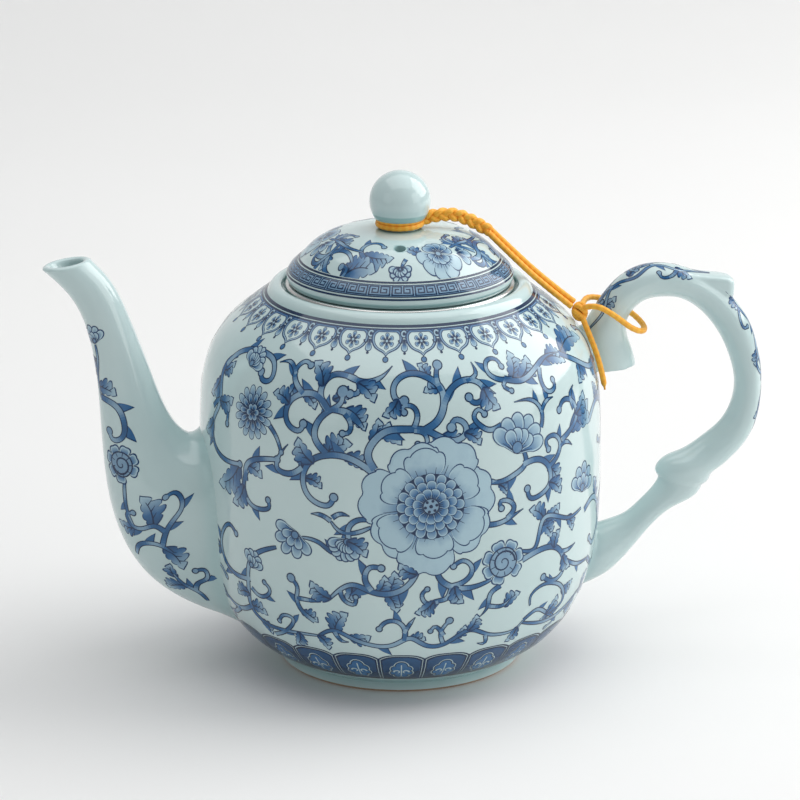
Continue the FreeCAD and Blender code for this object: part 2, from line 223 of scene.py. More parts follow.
@dataclass(frozen=True)
class CeladonGlaze:
    """Thick translucent glaze, greener where it pools, with deep teal painted shade in hollows and under edges.
    """

    light: Rgb = srgb(203, 221, 221)
    deep: Rgb = srgb(178, 205, 206)
    roughness: float = 0.07

    def material(self) -> bpy.types.Material:
        """The glaze as a material."""
        s = Shader("celadon_glaze")
        cloud = s.noise(28.0, 4.0, 0.55)
        pool_and_shade = s.attribute("pool_and_shade")
        # Deep teal where glaze pools in hollows and under edges: partly the thicker glaze, partly painted shade
        # of those hollows.
        share = (0.35 + (cloud - 0.5) * 0.9 + pool_and_shade * 1.4).clamped()
        base = s.mixed(share, self.light, self.deep)
        base = s.mixed((pool_and_shade * 0.9).clamped(), base, srgb(128, 172, 172))
        orange_peel = s.noise(260.0, 2.0, 0.4)
        specks = s.noise(2400.0, 1.0, 0.3)
        normal = s.bump(orange_peel * 0.8 + specks * 0.2, 0.00006)
        rough = s.noise(60.0, 2.0) * 0.05 + self.roughness
        return s.finish(
            Base_Color=base, Roughness=rough, Normal=normal, IOR=1.52, Coat_Weight=0.35, Coat_Roughness=0.04
        )


@dataclass(frozen=True)
class CobaltPaint:
    """Underglaze cobalt, from a thin wash to the full brush line."""

    thin: Rgb = srgb(168, 197, 209)
    middle: Rgb = srgb(50, 104, 152)
    full: Rgb = srgb(3, 36, 72)
    name: str = "cobalt_wash"

    def material(self) -> bpy.types.Material:
        """The painting as a material that reads the tone of each face."""
        s = Shader(self.name)
        grain = s.noise(420.0, 3.0, 0.6)
        pooling = s.noise(95.0, 2.0, 0.5)
        tone = (s.attribute("tone") + (grain - 0.5) * 0.16 + (pooling - 0.5) * 0.26).clamped()
        stops = [(0.0, self.thin), (0.5, self.middle), (1.0, self.full)]
        rough = s.noise(60.0, 2.0) * 0.05 + 0.07
        normal = s.bump(s.noise(260.0, 2.0, 0.4), 0.00005)
        return s.finish(
            Base_Color=s.ramp(tone, stops),
            Roughness=rough,
            Normal=normal,
            IOR=1.52,
        )


@dataclass(frozen=True)
class BareClay:
    """The unglazed rim of the foot, fired brown."""

    colour: Rgb = srgb(150, 112, 84)

    def material(self) -> bpy.types.Material:
        """The clay as a material."""
        s = Shader("bare_foot_clay")
        grain = s.noise(900.0, 3.0, 0.6)
        base = s.mixed(grain, self.colour, srgb(196, 176, 152))
        return s.finish(Base_Color=base, Roughness=0.75, Normal=s.bump(grain, 0.0002))


@dataclass(frozen=True)
class SatinSteel:
    """Satin stainless sheet."""

    colour: Rgb = (0.62, 0.62, 0.61)

    def material(self) -> bpy.types.Material:
        """The steel as a material with faint turning marks."""
        s = Shader("satin_steel")
        split = s.node("ShaderNodeSeparateXYZ", Vector=s.place())
        rings = s.node("ShaderNodeTexNoise", {"noise_dimensions": "1D"},
                       W=Sock(s.tree, split.outputs["Z"]) * 1.0)
        rings.inputs["Scale"].default_value = 5200.0
        marks = Sock(s.tree, rings.outputs["Fac"])
        smudge = s.noise(70.0, 3.0)
        base = s.mixed(marks * 0.5, self.colour, (0.76, 0.76, 0.75))
        return s.finish(
            Base_Color=base,
            Metallic=1.0,
            Roughness=marks * 0.10 + smudge * 0.12 + 0.12,
            Normal=s.bump(marks, 0.00001),
        )


@dataclass(frozen=True)
class SilkCord:
    """Golden-orange braided nylon with a silky nap."""

    bright: Rgb = srgb(255, 205, 76)
    shade: Rgb = srgb(250, 160, 26)

    def material(self) -> bpy.types.Material:
        """The cord as a material, painted lighter on the crests of the plait and darker in its grooves."""
        s = Shader("silk_cord")
        plait_light_and_shade = s.attribute("plait_light_and_shade")
        fibre = s.noise(3800.0, 2.0, 0.7)
        uneven = s.noise(160.0, 2.0)
        # Painted light and shade: each strand lighter where its crest bulges and darker in the grooves between
        # strands.
        share = (plait_light_and_shade * 0.75 + (fibre - 0.5) * 0.7 + (uneven - 0.5) * 0.5).clamped()
        return s.finish(
            Base_Color=s.mixed(share, self.shade, self.bright),
            Roughness=fibre * 0.2 + 0.42,
            Normal=s.bump(fibre, 0.00012, 0.8),
            Sheen_Weight=0.35,
            Sheen_Roughness=0.4,
            Sheen_Tint=(1.0, 0.8, 0.5),
        )


# ------------------------------------------------------------------ mesh helpers
def new_object(name: str, mesh: bpy.types.Mesh) -> bpy.types.Object:
    """An object at the origin for a finished mesh."""
    made = bpy.data.objects.new(name, mesh)
    bpy.context.scene.collection.objects.link(made)
    return made


def grid_mesh(name: str, rings: np.ndarray, closed: bool = True, ends: bool = False) -> bpy.types.Object:
    """A skin over rings of points.

    Args:
        name: the object's name.
        rings: points as (ring, place on the ring, 3), in metres.
        closed: whether each ring closes on itself.
        ends: whether the first and last ring are filled.

    Returns:
        The object.
    """
    count, around = rings.shape[:2]
    index = np.arange(count * around).reshape(count, around)
    ahead = np.roll(index, -1, axis=1) if closed else index[:, 1:]
    here = index if closed else index[:, :-1]
    quads = np.stack([here[:-1], ahead[:-1], ahead[1:], here[1:]], -1).reshape(-1, 4)
    faces = [tuple(q) for q in quads.tolist()]
    if ends:
        faces += [tuple(reversed(index[0].tolist())), tuple(index[-1].tolist())]
    mesh = bpy.data.meshes.new(name)
    mesh.from_pydata(rings.reshape(-1, 3).tolist(), [], faces)
    mesh.validate()
    made = new_object(name, mesh)
    face_out(made)
    return made


def alone(made: bpy.types.Object) -> None:
    """Makes one object the only selected and active one."""
    for other in bpy.context.view_layer.objects:
        other.select_set(False)
    made.select_set(True)
    bpy.context.view_layer.objects.active = made


def face_out(made: bpy.types.Object, merge: float = 1e-7) -> None:
    """Merges doubles and turns every face outwards."""
    alone(made)
    bpy.ops.object.mode_set(mode="EDIT")
    bpy.ops.mesh.select_all(action="SELECT")
    bpy.ops.mesh.remove_doubles(threshold=merge)
    bpy.ops.mesh.normals_make_consistent(inside=False)
    bpy.ops.object.mode_set(mode="OBJECT")


def smooth(made: bpy.types.Object, degrees: float = 40.0) -> None:
    """Smooth shading with crisp edges past an angle."""
    alone(made)
    bpy.ops.object.shade_smooth_by_angle(angle=math.radians(degrees))


def turned_mesh(name: str, profile: Sequence[Point], steps: int) -> bpy.types.Object:
    """A profile of (r, z) in millimetres spun about the pot's axis.

    Args:
        name: the object's name.
        profile: points in order round the section.
        steps: how many steps the full turn takes.

    Returns:
        The object, closed and facing outwards.
    """
    points = [(r * MM, 0.0, z * MM) for r, z in profile]
    edges = [(i, i + 1) for i in range(len(points) - 1)]
    mesh = bpy.data.meshes.new(name)
    mesh.from_pydata(points, edges, [])
    made = new_object(name, mesh)
    alone(made)
    bpy.ops.object.mode_set(mode="EDIT")
    bpy.ops.mesh.select_all(action="SELECT")
    bpy.ops.mesh.spin(steps=steps, angle=TAU, center=(0, 0, 0), axis=(0, 0, 1))
    bpy.ops.object.mode_set(mode="OBJECT")
    face_out(made, 1e-6)
    return made


def cut_out(made: bpy.types.Object, tool: bpy.types.Object) -> None:
    """Takes the tool's volume out of a piece and removes the tool."""
    alone(made)
    change = made.modifiers.new("cut", "BOOLEAN")
    change.operation = "DIFFERENCE"
    change.solver = "EXACT"
    change.object = tool
    bpy.ops.object.modifier_apply(modifier=change.name)
    bpy.data.objects.remove(tool)


def rod(at: Point3, along: Point3, radius: float, length: float) -> bpy.types.Object:
    """A round cutter centred on a point, sizes in millimetres."""
    alone_none()
    bpy.ops.mesh.primitive_cylinder_add(
        vertices=28, radius=radius * MM, depth=length * MM, location=[c * MM for c in at]
    )
    made = bpy.context.object
    made.rotation_mode = "QUATERNION"
    made.rotation_quaternion = Vector(along).to_track_quat("Z", "Y")
    bpy.ops.object.transform_apply(location=True, rotation=True, scale=True)
    return made


def alone_none() -> None:
    """Deselects everything."""
    for other in bpy.context.view_layer.objects:
        other.select_set(False)


def joined(parts: Sequence[bpy.types.Object], name: str) -> bpy.types.Object:
    """Several objects as one."""
    alone(parts[0])
    for part in parts[1:]:
        part.select_set(True)
    bpy.ops.object.join()
    parts[0].name = name
    parts[0].data.name = name
    return parts[0]


def pooled_with_shade(made: bpy.types.Object, depth: Callable[[np.ndarray], np.ndarray]) -> None:
    """Stores how much glaze pools at each vertex, which also paints shade into hollows and undersides.

    Args:
        made: a glazed piece.
        depth: gives the share from 0 to 1 for points in millimetres.
    """
    count = len(made.data.vertices)
    flat = np.empty(count * 3, np.float32)
    made.data.vertices.foreach_get("co", flat)
    store = made.data.attributes.new("pool_and_shade", "FLOAT", "POINT")
    store.data.foreach_set("value", np.clip(depth(flat.reshape(-1, 3) * 1000), 0, 1).astype(np.float32))


class Curve:
    """A smooth line through points, as a natural cubic in its own length."""

    def __init__(self, points: Sequence[Sequence[float]]) -> None:
        """Fits the line through the points."""
        p = np.asarray(points, float)
        t = np.r_[0, np.cumsum(np.linalg.norm(np.diff(p, axis=0), axis=1))]
        n = len(p)
        h = np.diff(t)
        a = np.eye(n)
        b = np.zeros_like(p)
        for i in range(1, n - 1):
            a[i, i - 1 : i + 2] = h[i - 1], 2 * (h[i - 1] + h[i]), h[i]
            b[i] = 6 * ((p[i + 1] - p[i]) / h[i] - (p[i] - p[i - 1]) / h[i - 1])
        self.t, self.p, self.m = t, p, np.linalg.solve(a, b)
        fine = np.linspace(0, t[-1], 60 * n)
        arc = np.linalg.norm(np.diff(self._at(fine), axis=0), axis=1)
        self.fine, self.arc = fine, np.r_[0, np.cumsum(arc)]
        self.length = float(self.arc[-1])

    def _at(self, t: np.ndarray) -> np.ndarray:
        """Points at the fit's own parameter."""
        i = np.clip(np.searchsorted(self.t, t, side="right") - 1, 0, len(self.t) - 2)
        h = (self.t[i + 1] - self.t[i])[:, None]
        u = (self.t[i + 1] - t)[:, None]
        w = (t - self.t[i])[:, None]
        cubic = self.m[i] * u**3 + self.m[i + 1] * w**3
        low = self.p[i] / h - self.m[i] * h / 6
        high = self.p[i + 1] / h - self.m[i + 1] * h / 6
        return cubic / (6 * h) + low * u + high * w

    def at(self, s: np.ndarray) -> np.ndarray:
        """Points at distances along the line."""
        return self._at(np.interp(s, self.arc, self.fine))

    def even(self, step: float) -> np.ndarray:
        """Points at about even steps, ends included."""
        return self.at(np.linspace(0, self.length, max(2, int(self.length / step) + 1)))


# ------------------------------------------------------------------ flat painting
class Ink(Enum):
    """What a brush leaves behind."""

    LINE = "line"
    WASH = "wash"
    BARE = "bare"


class End(Enum):
    """How a painted stem ends."""

    HOOK = "hook"
    BULB = "bulb"
    LEAF = "leaf"
    TIP = "tip"
    TAIL = "tail"


@dataclass(frozen=True)
class Stem:
    """One scrolling stem, drawn from its root to its end, in millimetres."""

    end: End
    width: float
    points: list[Point]


@dataclass(frozen=True)
class Leaf:
    """One lobed leaf from its base to its tip, bent to one side."""

    lobes: int
    side: int
    base: Point
    tip: Point


def turned_by(point: np.ndarray, degrees: float) -> np.ndarray:
    """Flat points turned about the origin."""
    a = math.radians(degrees)
    return point @ np.array([[math.cos(a), math.sin(a)], [-math.sin(a), math.cos(a)]])


def turning(outline: np.ndarray) -> float:
    """Twice the signed area of an outline; positive when it runs anticlockwise."""
    x, y = outline[:, 0], outline[:, 1]
    return float((x * np.roll(y, -1) - y * np.roll(x, -1)).sum())


def rounded_hull(points: np.ndarray, corners: Sequence[int]) -> list[int]:
    """The corners of a patch in anticlockwise order, without folds.

    Args:
        points: all points.
        corners: the patch's corners among them.

    Returns:
        The numbers of the corners on its convex edge.
    """
    order = sorted(corners, key=lambda k: (points[k][0], points[k][1]))

    def chain(numbers: Iterable[int]) -> list[int]:
        """One side of the edge."""
        side: list[int] = []
        for k in numbers:
            while len(side) > 1:
                ax, ay = points[side[-1]] - points[side[-2]]
                bx, by = points[k] - points[side[-2]]
                if ax * by - ay * bx > 1e-7:
                    break
                side.pop()
            side.append(k)
        return side[:-1]

    return chain(order) + chain(order[::-1])


class Sheet:
    """A flat painting in millimetres; what is painted later lies on top."""

    def __init__(self, period: float = 0.0) -> None:
        """Starts an empty sheet; a period makes it close round a pot."""
        self.period = period
        self.points: list[np.ndarray] = []
        self.faces: list[list[int]] = []
        self.inks: list[tuple[int, float, float, float]] = []
        self.count = 0

    def _add(self, points: np.ndarray) -> int:
        """Stores points and gives the first one's number."""
        first = self.count
        self.points.append(points)
        self.count += len(points)
        return first

    def _ink(self, ink: Ink, tone: float, slope: Point = (0.0, 0.0), at: Point = (0.0, 0.0)) -> None:
        """Stores one face's ink, with its tone as a plane over the sheet."""
        kind = {Ink.LINE: 0, Ink.WASH: 1, Ink.BARE: 2}[ink]
        self.inks.append((kind, tone - slope[0] * at[0] - slope[1] * at[1], slope[0], slope[1]))

    def strip(self, line: np.ndarray, half: Any, ink: Ink, tone: Any = 0.9) -> None:
        """A brush stroke.

        Args:
            line: points along it.
            half: half its width, one number or one per point.
            ink: what it leaves.
            tone: how dark, one number or one per point.
        """
        line = np.asarray(line, float)
        if len(line) == 2 and np.ndim(half) == 0 and np.ndim(tone) == 0:
            line = np.linspace(line[0], line[1], max(round(math.dist(line[0], line[1]) / 0.8), 1) + 1)
        n = len(line)
        half = np.broadcast_to(np.asarray(half, float), n)
        tone = np.broadcast_to(np.asarray(tone, float), n)
        along = np.gradient(line, axis=0)
        along /= np.maximum(np.linalg.norm(along, axis=1), 1e-9)[:, None]
        across = np.stack([-along[:, 1], along[:, 0]], 1) * half[:, None]
        corners = np.concatenate([line + across, line - across])
        first = self._add(corners)
        for i in range(n - 1):
            around = rounded_hull(corners, [i, n + i, n + i + 1, i + 1])
            if len(around) > 2:
                self.faces.append([first + k for k in around])
                self._ink(ink, float(tone[i]))

    def area(self, outline: np.ndarray, ink: Ink, tone: float = 0.5, far: Optional[float] = None,
             root: Point = (0.0, 0.0), tip: Point = (0.0, 1.0)) -> None:
        """A filled shape whose tone may run from a root to a tip.

        Args:
            outline: its corners in order.
            ink: what fills it.
            tone: how dark it is at the root.
            far: how dark it is at the tip.
            root: where the run starts.
            tip: where the run ends.
        """
        outline = np.asarray(outline, float)
        if turning(outline) < 0:
            outline = outline[::-1]
        sides = [np.linspace(a, b, max(round(math.dist(a, b) / 1.1), 1), endpoint=False)
                 for a, b in zip(outline, np.roll(outline, -1, axis=0))]
        outline = np.concatenate(sides)
        first = self._add(outline)
        self.faces.append(list(range(first, first + len(outline))))
        slope = (0.0, 0.0)
        if far is not None:
            du, dv = tip[0] - root[0], tip[1] - root[1]
            scale = (far - tone) / max(du * du + dv * dv, 1e-6)
            slope = (du * scale, dv * scale)
        self._ink(ink, tone, slope, root)

    def disc(self, centre: Point, radius: float, ink: Ink, tone: float = 0.9, sides: int = 14) -> None:
        """A round dot."""
        a = np.linspace(0, TAU, sides, endpoint=False)
        self.area(np.stack([centre[0] + radius * np.cos(a), centre[1] + radius * np.sin(a)], 1), ink, tone)

    def ball(self, centre: Point, radius: float, edge: float = 0.45, tone: float = 0.35) -> None:
        """A dot with a line round it."""
        self.disc(centre, radius, Ink.LINE)
        self.disc(centre, radius - edge, Ink.WASH, tone)

    def hoop(self, low: float, high: float, period: float, ink: Ink = Ink.LINE, tone: float = 0.9) -> None:
        """A band right round the pot, in short lengths that bend with it."""
        x = np.linspace(-period / 2, period / 2, int(period / 1.5) + 1)
        self.area(np.concatenate([np.stack([x, np.full(len(x), low)], 1),
                                  np.stack([x[::-1], np.full(len(x), high)], 1)]), ink, tone)

    def runs(self, points: Sequence[Point], width: float, ink: Ink = Ink.LINE, tone: float = 0.9) -> None:
        """Straight strokes with square corners."""
        for a, b in zip(points, points[1:]):
            p, q = np.array(a, float), np.array(b, float)
            reach = (q - p) / max(np.linalg.norm(q - p), 1e-9) * width / 2
            self.strip(np.array([p - reach, q + reach]), width / 2, ink, tone)

    def laid(self, other: "Sheet", shift: Point = (0.0, 0.0), degrees: float = 0.0, scale: float = 1.0,
             mirror: bool = False) -> None:
        """Copies another sheet's painting onto this one.

        Args:
            other: what is copied.
            shift: where its origin goes.
            degrees: how far it is turned.
            scale: its size.
            mirror: whether left and right are swapped.
        """
        p = np.concatenate(other.points)
        k = np.array([-1.0 if mirror else 1.0, 1.0]) * scale
        moved = turned_by(p * k, degrees) + np.asarray(shift)
        first = self._add(moved)
        a = math.radians(degrees)
        for face, (kind, t0, gu, gv) in zip(other.faces, other.inks):
            self.faces.append([first + i for i in (reversed(face) if mirror else face)])
            gx, gy = gu / k[0], gv / k[1]
            rx, ry = gx * math.cos(a) - gy * math.sin(a), gx * math.sin(a) + gy * math.cos(a)
            self.inks.append((kind, t0 - rx * shift[0] - ry * shift[1], rx, ry))

    def meshed(self, step: float, low: Point, high: Point) -> tuple[np.ndarray, np.ndarray, np.ndarray]:
        """Cuts the painting into triangles that follow a curved surface.

        Args:
            step: grid spacing laid under the painting.
            low: the sheet's lowest corner.
            high: its highest corner.

        Returns:
            Points, triangles, and each triangle's ink number.
        """
        points = np.concatenate(self.points)
        gu = np.arange(low[0], high[0] + step / 2, step)
        gv = np.arange(low[1], high[1] + step / 2, step)
        grid = np.stack([g.ravel() for g in np.meshgrid(gu + 0.013, gv + 0.017)], 1)
        every = [Vector(p) for p in np.concatenate([points, grid]).tolist()]
        out = delaunay_2d_cdt(every, [], self.faces, 0, 1e-5)
        flat = np.array([v[:] for v in out[0]])
        keep, owner = [], []
        for face, origins in zip(out[2], out[5]):
            if origins and len(face) == 3:
                top = max(origins)
                if self.inks[top][0] != 2:
                    keep.append(face)
                    owner.append(top)
        LOG.info("painting: %d strokes and shapes, %d triangles", len(self.faces), len(keep))
        return flat, np.array(keep), np.array(owner)


Wrap = Callable[[np.ndarray], tuple[np.ndarray, np.ndarray]]


def lay_painting(sheet: Sheet, wrap: Wrap, name: str, step: float, low: Point, high: Point,
                 paints: dict[int, bpy.types.Material], body: str) -> list[bpy.types.Object]:
    """Lays a flat painting onto a glazed surface.

    Args:
        sheet: the painting.
        wrap: gives points and normals in metres for flat points.
        name: the pieces' name.
        step: grid spacing under the painting.
        low: the sheet's lowest corner.
        high: its highest corner.
        paints: material of the lines, 0, and of the washes, 1.
        body: the body that carries it.

    Returns:
        One piece of lines and one of washes.
    """
    flat, triangles, owner = sheet.meshed(step, low, high)
    ink = np.array(sheet.inks)
    pieces = []
    for kind, label in ((0, "lines"), (1, "washes")):
        mine = ink[owner, 0] == kind
        if not mine.any():
            continue
        tri, own = triangles[mine], owner[mine]
        used, again = np.unique(tri, return_inverse=True)
        again = again.reshape(tri.shape)
        uv = flat[used]
        place, normal = wrap(uv)
        corners = place[again]
        area = np.linalg.norm(np.cross(corners[:, 1] - corners[:, 0], corners[:, 2] - corners[:, 0]), axis=1)
        good = area > 1e-13
        again, own, corners = again[good], own[good], corners[good]
        facing = np.cross(corners[:, 1] - corners[:, 0], corners[:, 2] - corners[:, 0])
        back = (facing * normal[again[:, 0]]).sum(1) < 0
        again[back] = again[back][:, ::-1]
        mesh = bpy.data.meshes.new(f"{name}_{label}")
        mesh.from_pydata(place.tolist(), [], again.tolist())
        corner_uv = uv[again.ravel()]
        coefficients = ink[np.repeat(own, 3)]
        tone = coefficients[:, 1] + coefficients[:, 2] * corner_uv[:, 0] + coefficients[:, 3] * corner_uv[:, 1]
        store = mesh.attributes.new("tone", "FLOAT", "CORNER")
        store.data.foreach_set("value", np.clip(tone, 0.0, 1.0).astype(np.float32))
        unit = (corner_uv - np.array(low)) / (np.array(high) - np.array(low))
        layer = mesh.uv_layers.new(name="OFBake")
        layer.data.foreach_set("uv", np.clip(unit, 0.001, 0.999).astype(np.float32).ravel())
        mesh.polygons.foreach_set("use_smooth", np.ones(len(mesh.polygons), bool))
        mesh.normals_split_custom_set(normal[again.ravel()].tolist())
        mesh.materials.append(paints[kind])
        made = new_object(f"{name}_{label}", mesh)
        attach(made, body)
        pieces.append(made)
    return pieces


# ------------------------------------------------------------------ brush motifs
def smooth_line(points: Sequence[Point], step: float = 0.8) -> np.ndarray:
    """A brush path through the points."""
    return Curve(points).even(step)


def paint_stems(sheet: Sheet, stems: Sequence[Stem], edge: float = 0.42) -> None:
    """Paints scrolling stems: dark under-strokes first, then their washes."""
    laid = []
    spurs = [spur for stem in stems for spur in spurs_of(stem)]
    for spur in spurs:
        sheet.area(spur[0], Ink.LINE)
    for spur in spurs:
        sheet.area(spur[1], Ink.WASH, 0.55)
    for stem in stems:
        line = smooth_line(stem.points)
        s = np.linspace(0, 1, len(line))
        half = np.full(len(line), stem.width / 2) * (1.08 - 0.3 * s)
        if stem.end is End.TAIL:
            half *= np.minimum(1.0, 0.45 + 0.55 * np.sin(np.pi * np.clip(s, 0, 1)) ** 0.5)
        elif stem.end is End.TIP:
            half *= np.clip((1.0 - s) * 2.6, 0.06, 1.0)
        elif stem.end is End.LEAF:
            half *= 0.6 + 0.9 * np.sin(np.pi * s**1.4)
        laid.append((stem, line, half, s))
        sheet.strip(line, half + edge * 0.42, Ink.LINE)
        if stem.end in (End.HOOK, End.BULB):
            sheet.disc(tuple(line[-1]), stem.width * (0.78 if stem.end is End.HOOK else 1.05), Ink.LINE)
    for stem, line, half, s in laid:
        inner = np.maximum(half - edge * 0.42, 0.05)
        sheet.strip(line, inner, Ink.WASH, 0.22 + 0.42 * np.sin(5 * s + len(line)) ** 2)
        if stem.end in (End.HOOK, End.BULB):
            radius = stem.width * (0.78 if stem.end is End.HOOK else 1.05)
            sheet.disc(tuple(line[-1]), radius - edge, Ink.WASH, 0.28)


def spurs_of(stem: Stem) -> list[tuple[np.ndarray, np.ndarray]]:
    """Small pointed leaflets along a stem's outer side, as outlines and fills."""
    line = smooth_line(stem.points)
    if len(line) < 16:
        return []
    made = []
    along = np.gradient(line, axis=0)
    along /= np.linalg.norm(along, axis=1)[:, None]
    bend = np.sign((along[:-1, 0] * along[1:, 1] - along[:-1, 1] * along[1:, 0]).sum())
    for share in (0.3, 0.62) if len(line) > 26 else (0.5,):
        i = int(share * len(line))
        ahead = along[i]
        out = np.array([ahead[1], -ahead[0]]) * bend
        root = line[i] + out * stem.width * 0.3
        size = stem.width * 1.75
        shape = [root - ahead * size * 0.45, root + out * size * 0.42 - ahead * size * 0.05,
                 root + out * size * 0.95 + ahead * size * 0.95, root + out * size * 0.10 + ahead * size * 0.62]
        edge = Curve([shape[0], shape[1], shape[2]]).even(0.4)
        outline = np.concatenate([edge, [shape[3]]])
        middle = outline.mean(0)
        made.append((middle + (outline - middle) * 1.22, outline))
    return made


def leaf_shape(leaf: Leaf) -> tuple[np.ndarray, np.ndarray]:
    """A lobed leaf's outline and its vein."""
    base, tip = np.array(leaf.base, float), np.array(leaf.tip, float)
    run = tip - base
    length = float(np.linalg.norm(run))
    ahead = run / length
    left = np.array([-ahead[1], ahead[0]]) * leaf.side
    t = np.linspace(0, 1, 9 * leaf.lobes + 1)
    bow = np.sin(np.pi * t)[:, None] * left * length * 0.12
    spine = base + t[:, None] * run + bow
    swell = np.sin(np.pi * np.clip(t, 0.0, 1.0) ** 0.72) ** 0.8
    beat = (leaf.lobes * t) % 1.0
    lobe = 0.50 + 0.50 * np.sin(np.pi * beat**0.7) ** 0.9
    lean = (0.30 * length / leaf.lobes * np.sin(np.pi * beat) * swell)[:, None] * ahead
    wide = spine + (swell * lobe * min(0.44 * length, 5.2))[:, None] * left + lean
    narrow = spine - (swell * (0.5 + 0.5 * lobe) * min(0.27 * length, 3.2))[:, None] * left + 0.6 * lean
    return np.concatenate([wide, narrow[-2:0:-1]]), spine


def paint_leaves(sheet: Sheet, leaves: Sequence[Leaf], edge: float = 0.4) -> None:
    """Paints lobed leaves with a dark vein and pale lobe tips."""
    for leaf in leaves:
        outline, spine = leaf_shape(leaf)
        middle = outline.mean(0)
        sheet.area(middle + (outline - middle) * (1 + 2.6 * edge / max(np.ptp(outline, axis=0))), Ink.LINE)
        sheet.area(outline, Ink.WASH, 0.8, 0.0, leaf.base, leaf.tip)
        n = len(spine)
        sheet.strip(spine[: int(n * 0.8)], np.linspace(0.3, 0.12, int(n * 0.8)), Ink.LINE)
        left = np.array([-(spine[-1] - spine[0])[1], (spine[-1] - spine[0])[0]]) * leaf.side
        left = left / max(np.linalg.norm(left), 1e-9)
        for k in range(1, leaf.lobes):
            root = spine[int(n * k / (leaf.lobes + 0.6))]
            ahead = (spine[-1] - spine[0]) / np.linalg.norm(spine[-1] - spine[0])
            reach = 0.19 * np.linalg.norm(spine[-1] - spine[0])
            out = root + left * reach * 0.9 + ahead * reach * 0.7
            sheet.strip(np.linspace(root, out, 4), np.linspace(0.22, 0.08, 4), Ink.LINE)


def petal(width: float, length: float, lobes: int = 1, point: float = 0.0) -> np.ndarray:
    """A petal's outline from its base at the origin, reaching up."""
    t = np.linspace(0, np.pi, 10 + 8 * lobes)
    rim = 1 - 0.10 * np.abs(np.sin(lobes * t)) ** 0.7 if lobes > 1 else np.ones_like(t)
    x = -np.cos(t) * width / 2 * (0.55 + 0.45 * np.sin(t) ** 0.6) * 1.25
    y = length * (0.42 + 0.58 * np.sin(t) ** (0.8 + point)) * (2 - rim * 1.0)
    y = y / y.max() * length
    x = np.where(y < length * 0.5, x * (0.5 + y / length), x)
    base = np.array([[width * 0.16, 0.0], [-width * 0.16, 0.0]])
    return np.concatenate([np.stack([x, y], 1), base])


def paint_petal(sheet: Sheet, centre: Point, degrees: float, start: float, width: float, length: float,
                lobes: int = 1, dark: float = 0.85, pale: float = 0.0, edge: float = 0.42,
                rim: float = 0.6) -> None:
    """One petal pointing away from a centre: a line, a pale rim and a graded wash.

    Args:
        sheet: the painting.
        centre: the flower's centre.
        degrees: which way it points; 90 is up.
        start: how far from the centre its base is.
        width: across it.
        length: along it.
        lobes: bumps on its edge.
        dark: tone at its base.
        pale: tone at its tip.
        edge: width of the line round it.
        rim: width of the bare rim inside the line.
    """
    shape = petal(width, length, lobes)
    ahead = np.array([math.cos(math.radians(degrees)), math.sin(math.radians(degrees))])
    root = np.asarray(centre) + ahead * start
    tip = root + ahead * length
    for grow, ink in ((edge, Ink.LINE), (0.0, Ink.WASH), (-rim, Ink.WASH)):
        k = np.array([1 + 2 * grow / width, 1 + grow / length])
        outline = turned_by(shape * k, degrees - 90) + root
        if grow > 0:
            sheet.area(outline, ink)
        elif grow == 0:
            sheet.area(outline, ink, 0.03)
        else:
            sheet.area(outline, ink, dark, pale, tuple(root), tuple(tip))
    for side in (-0.24, 0.0, 0.24):
        line = np.array([[side * width * 0.4, 0.06 * length], [side * width, 0.55 * length]])
        sheet.strip(turned_by(line, degrees - 90) + root, np.array([0.22, 0.07]), Ink.LINE)


def paint_peony(sheet: Sheet, centre: Point, radius: float, turn: float = 0.0) -> None:
    """A full open flower: scalloped outer petals round a dahlia-like heart."""
    for count, reach, width, lobes, dark in ((7, 1.0, 0.86, 4, 0.8), (6, 0.84, 0.62, 3, 0.85)):
        for k in range(count):
            wobble = 0.07 * math.sin(3.1 * k + turn)
            angle = 360 * k / count + turn + (22 if reach < 1 else 0) + 5 * math.sin(2.3 * k)
            paint_petal(sheet, centre, angle, radius * 0.20, radius * width * (1 + wobble),
                        radius * (reach - 0.20 + wobble), lobes, dark, -0.45, 0.36, 0.7)
    sheet.disc(centre, radius * 0.50, Ink.LINE, 0.9, 28)
    for ring, count, size, dark in ((0.40, 16, 0.24, 0.85), (0.31, 14, 0.22, 0.95), (0.21, 11, 0.20, 1.0)):
        for k in range(count):
            paint_petal(sheet, centre, 360 * k / count + turn * 2 + 180 / count * (ring < 0.35),
                        radius * (ring - 0.14), radius * 0.15, radius * size, 1, dark, 0.12, 0.2, 0.24)
    sheet.disc(centre, radius * 0.13, Ink.LINE, 0.9, 18)
    sheet.disc(centre, radius * 0.11, Ink.WASH, 0.25, 18)
    for k in range(6):
        a = math.radians(60 * k + turn)
        at = (centre[0] + radius * 0.085 * math.cos(a), centre[1] + radius * 0.085 * math.sin(a))
        sheet.disc(at, radius * 0.024, Ink.LINE, 0.9, 8)
    sheet.disc(centre, radius * 0.03, Ink.LINE, 0.9, 8)


def paint_daisy(sheet: Sheet, centre: Point, radius: float, petals: int, turn: float = 0.0) -> None:
    """A small round flower with narrow petals and a dotted heart."""
    sheet.disc(centre, radius * 0.8, Ink.LINE, 0.9, 20)
    for k in range(petals):
        paint_petal(sheet, centre, 360 * k / petals + turn, radius * 0.30, TAU * radius * 0.64 / petals,
                    radius * 0.70, 1, 0.75, 0.0, 0.25, 0.25)
    for k in range(petals - 4):
        paint_petal(sheet, centre, 360 * k / (petals - 4) + turn + 9, radius * 0.18,
                    TAU * radius * 0.5 / petals, radius * 0.52, 1, 0.95, 0.15, 0.22, 0.2)
    for k in range(6):
        paint_petal(sheet, centre, 60 * k + turn, 0.0, radius * 0.22, radius * 0.32, 1, 0.9, 0.1, 0.2, 0.2)


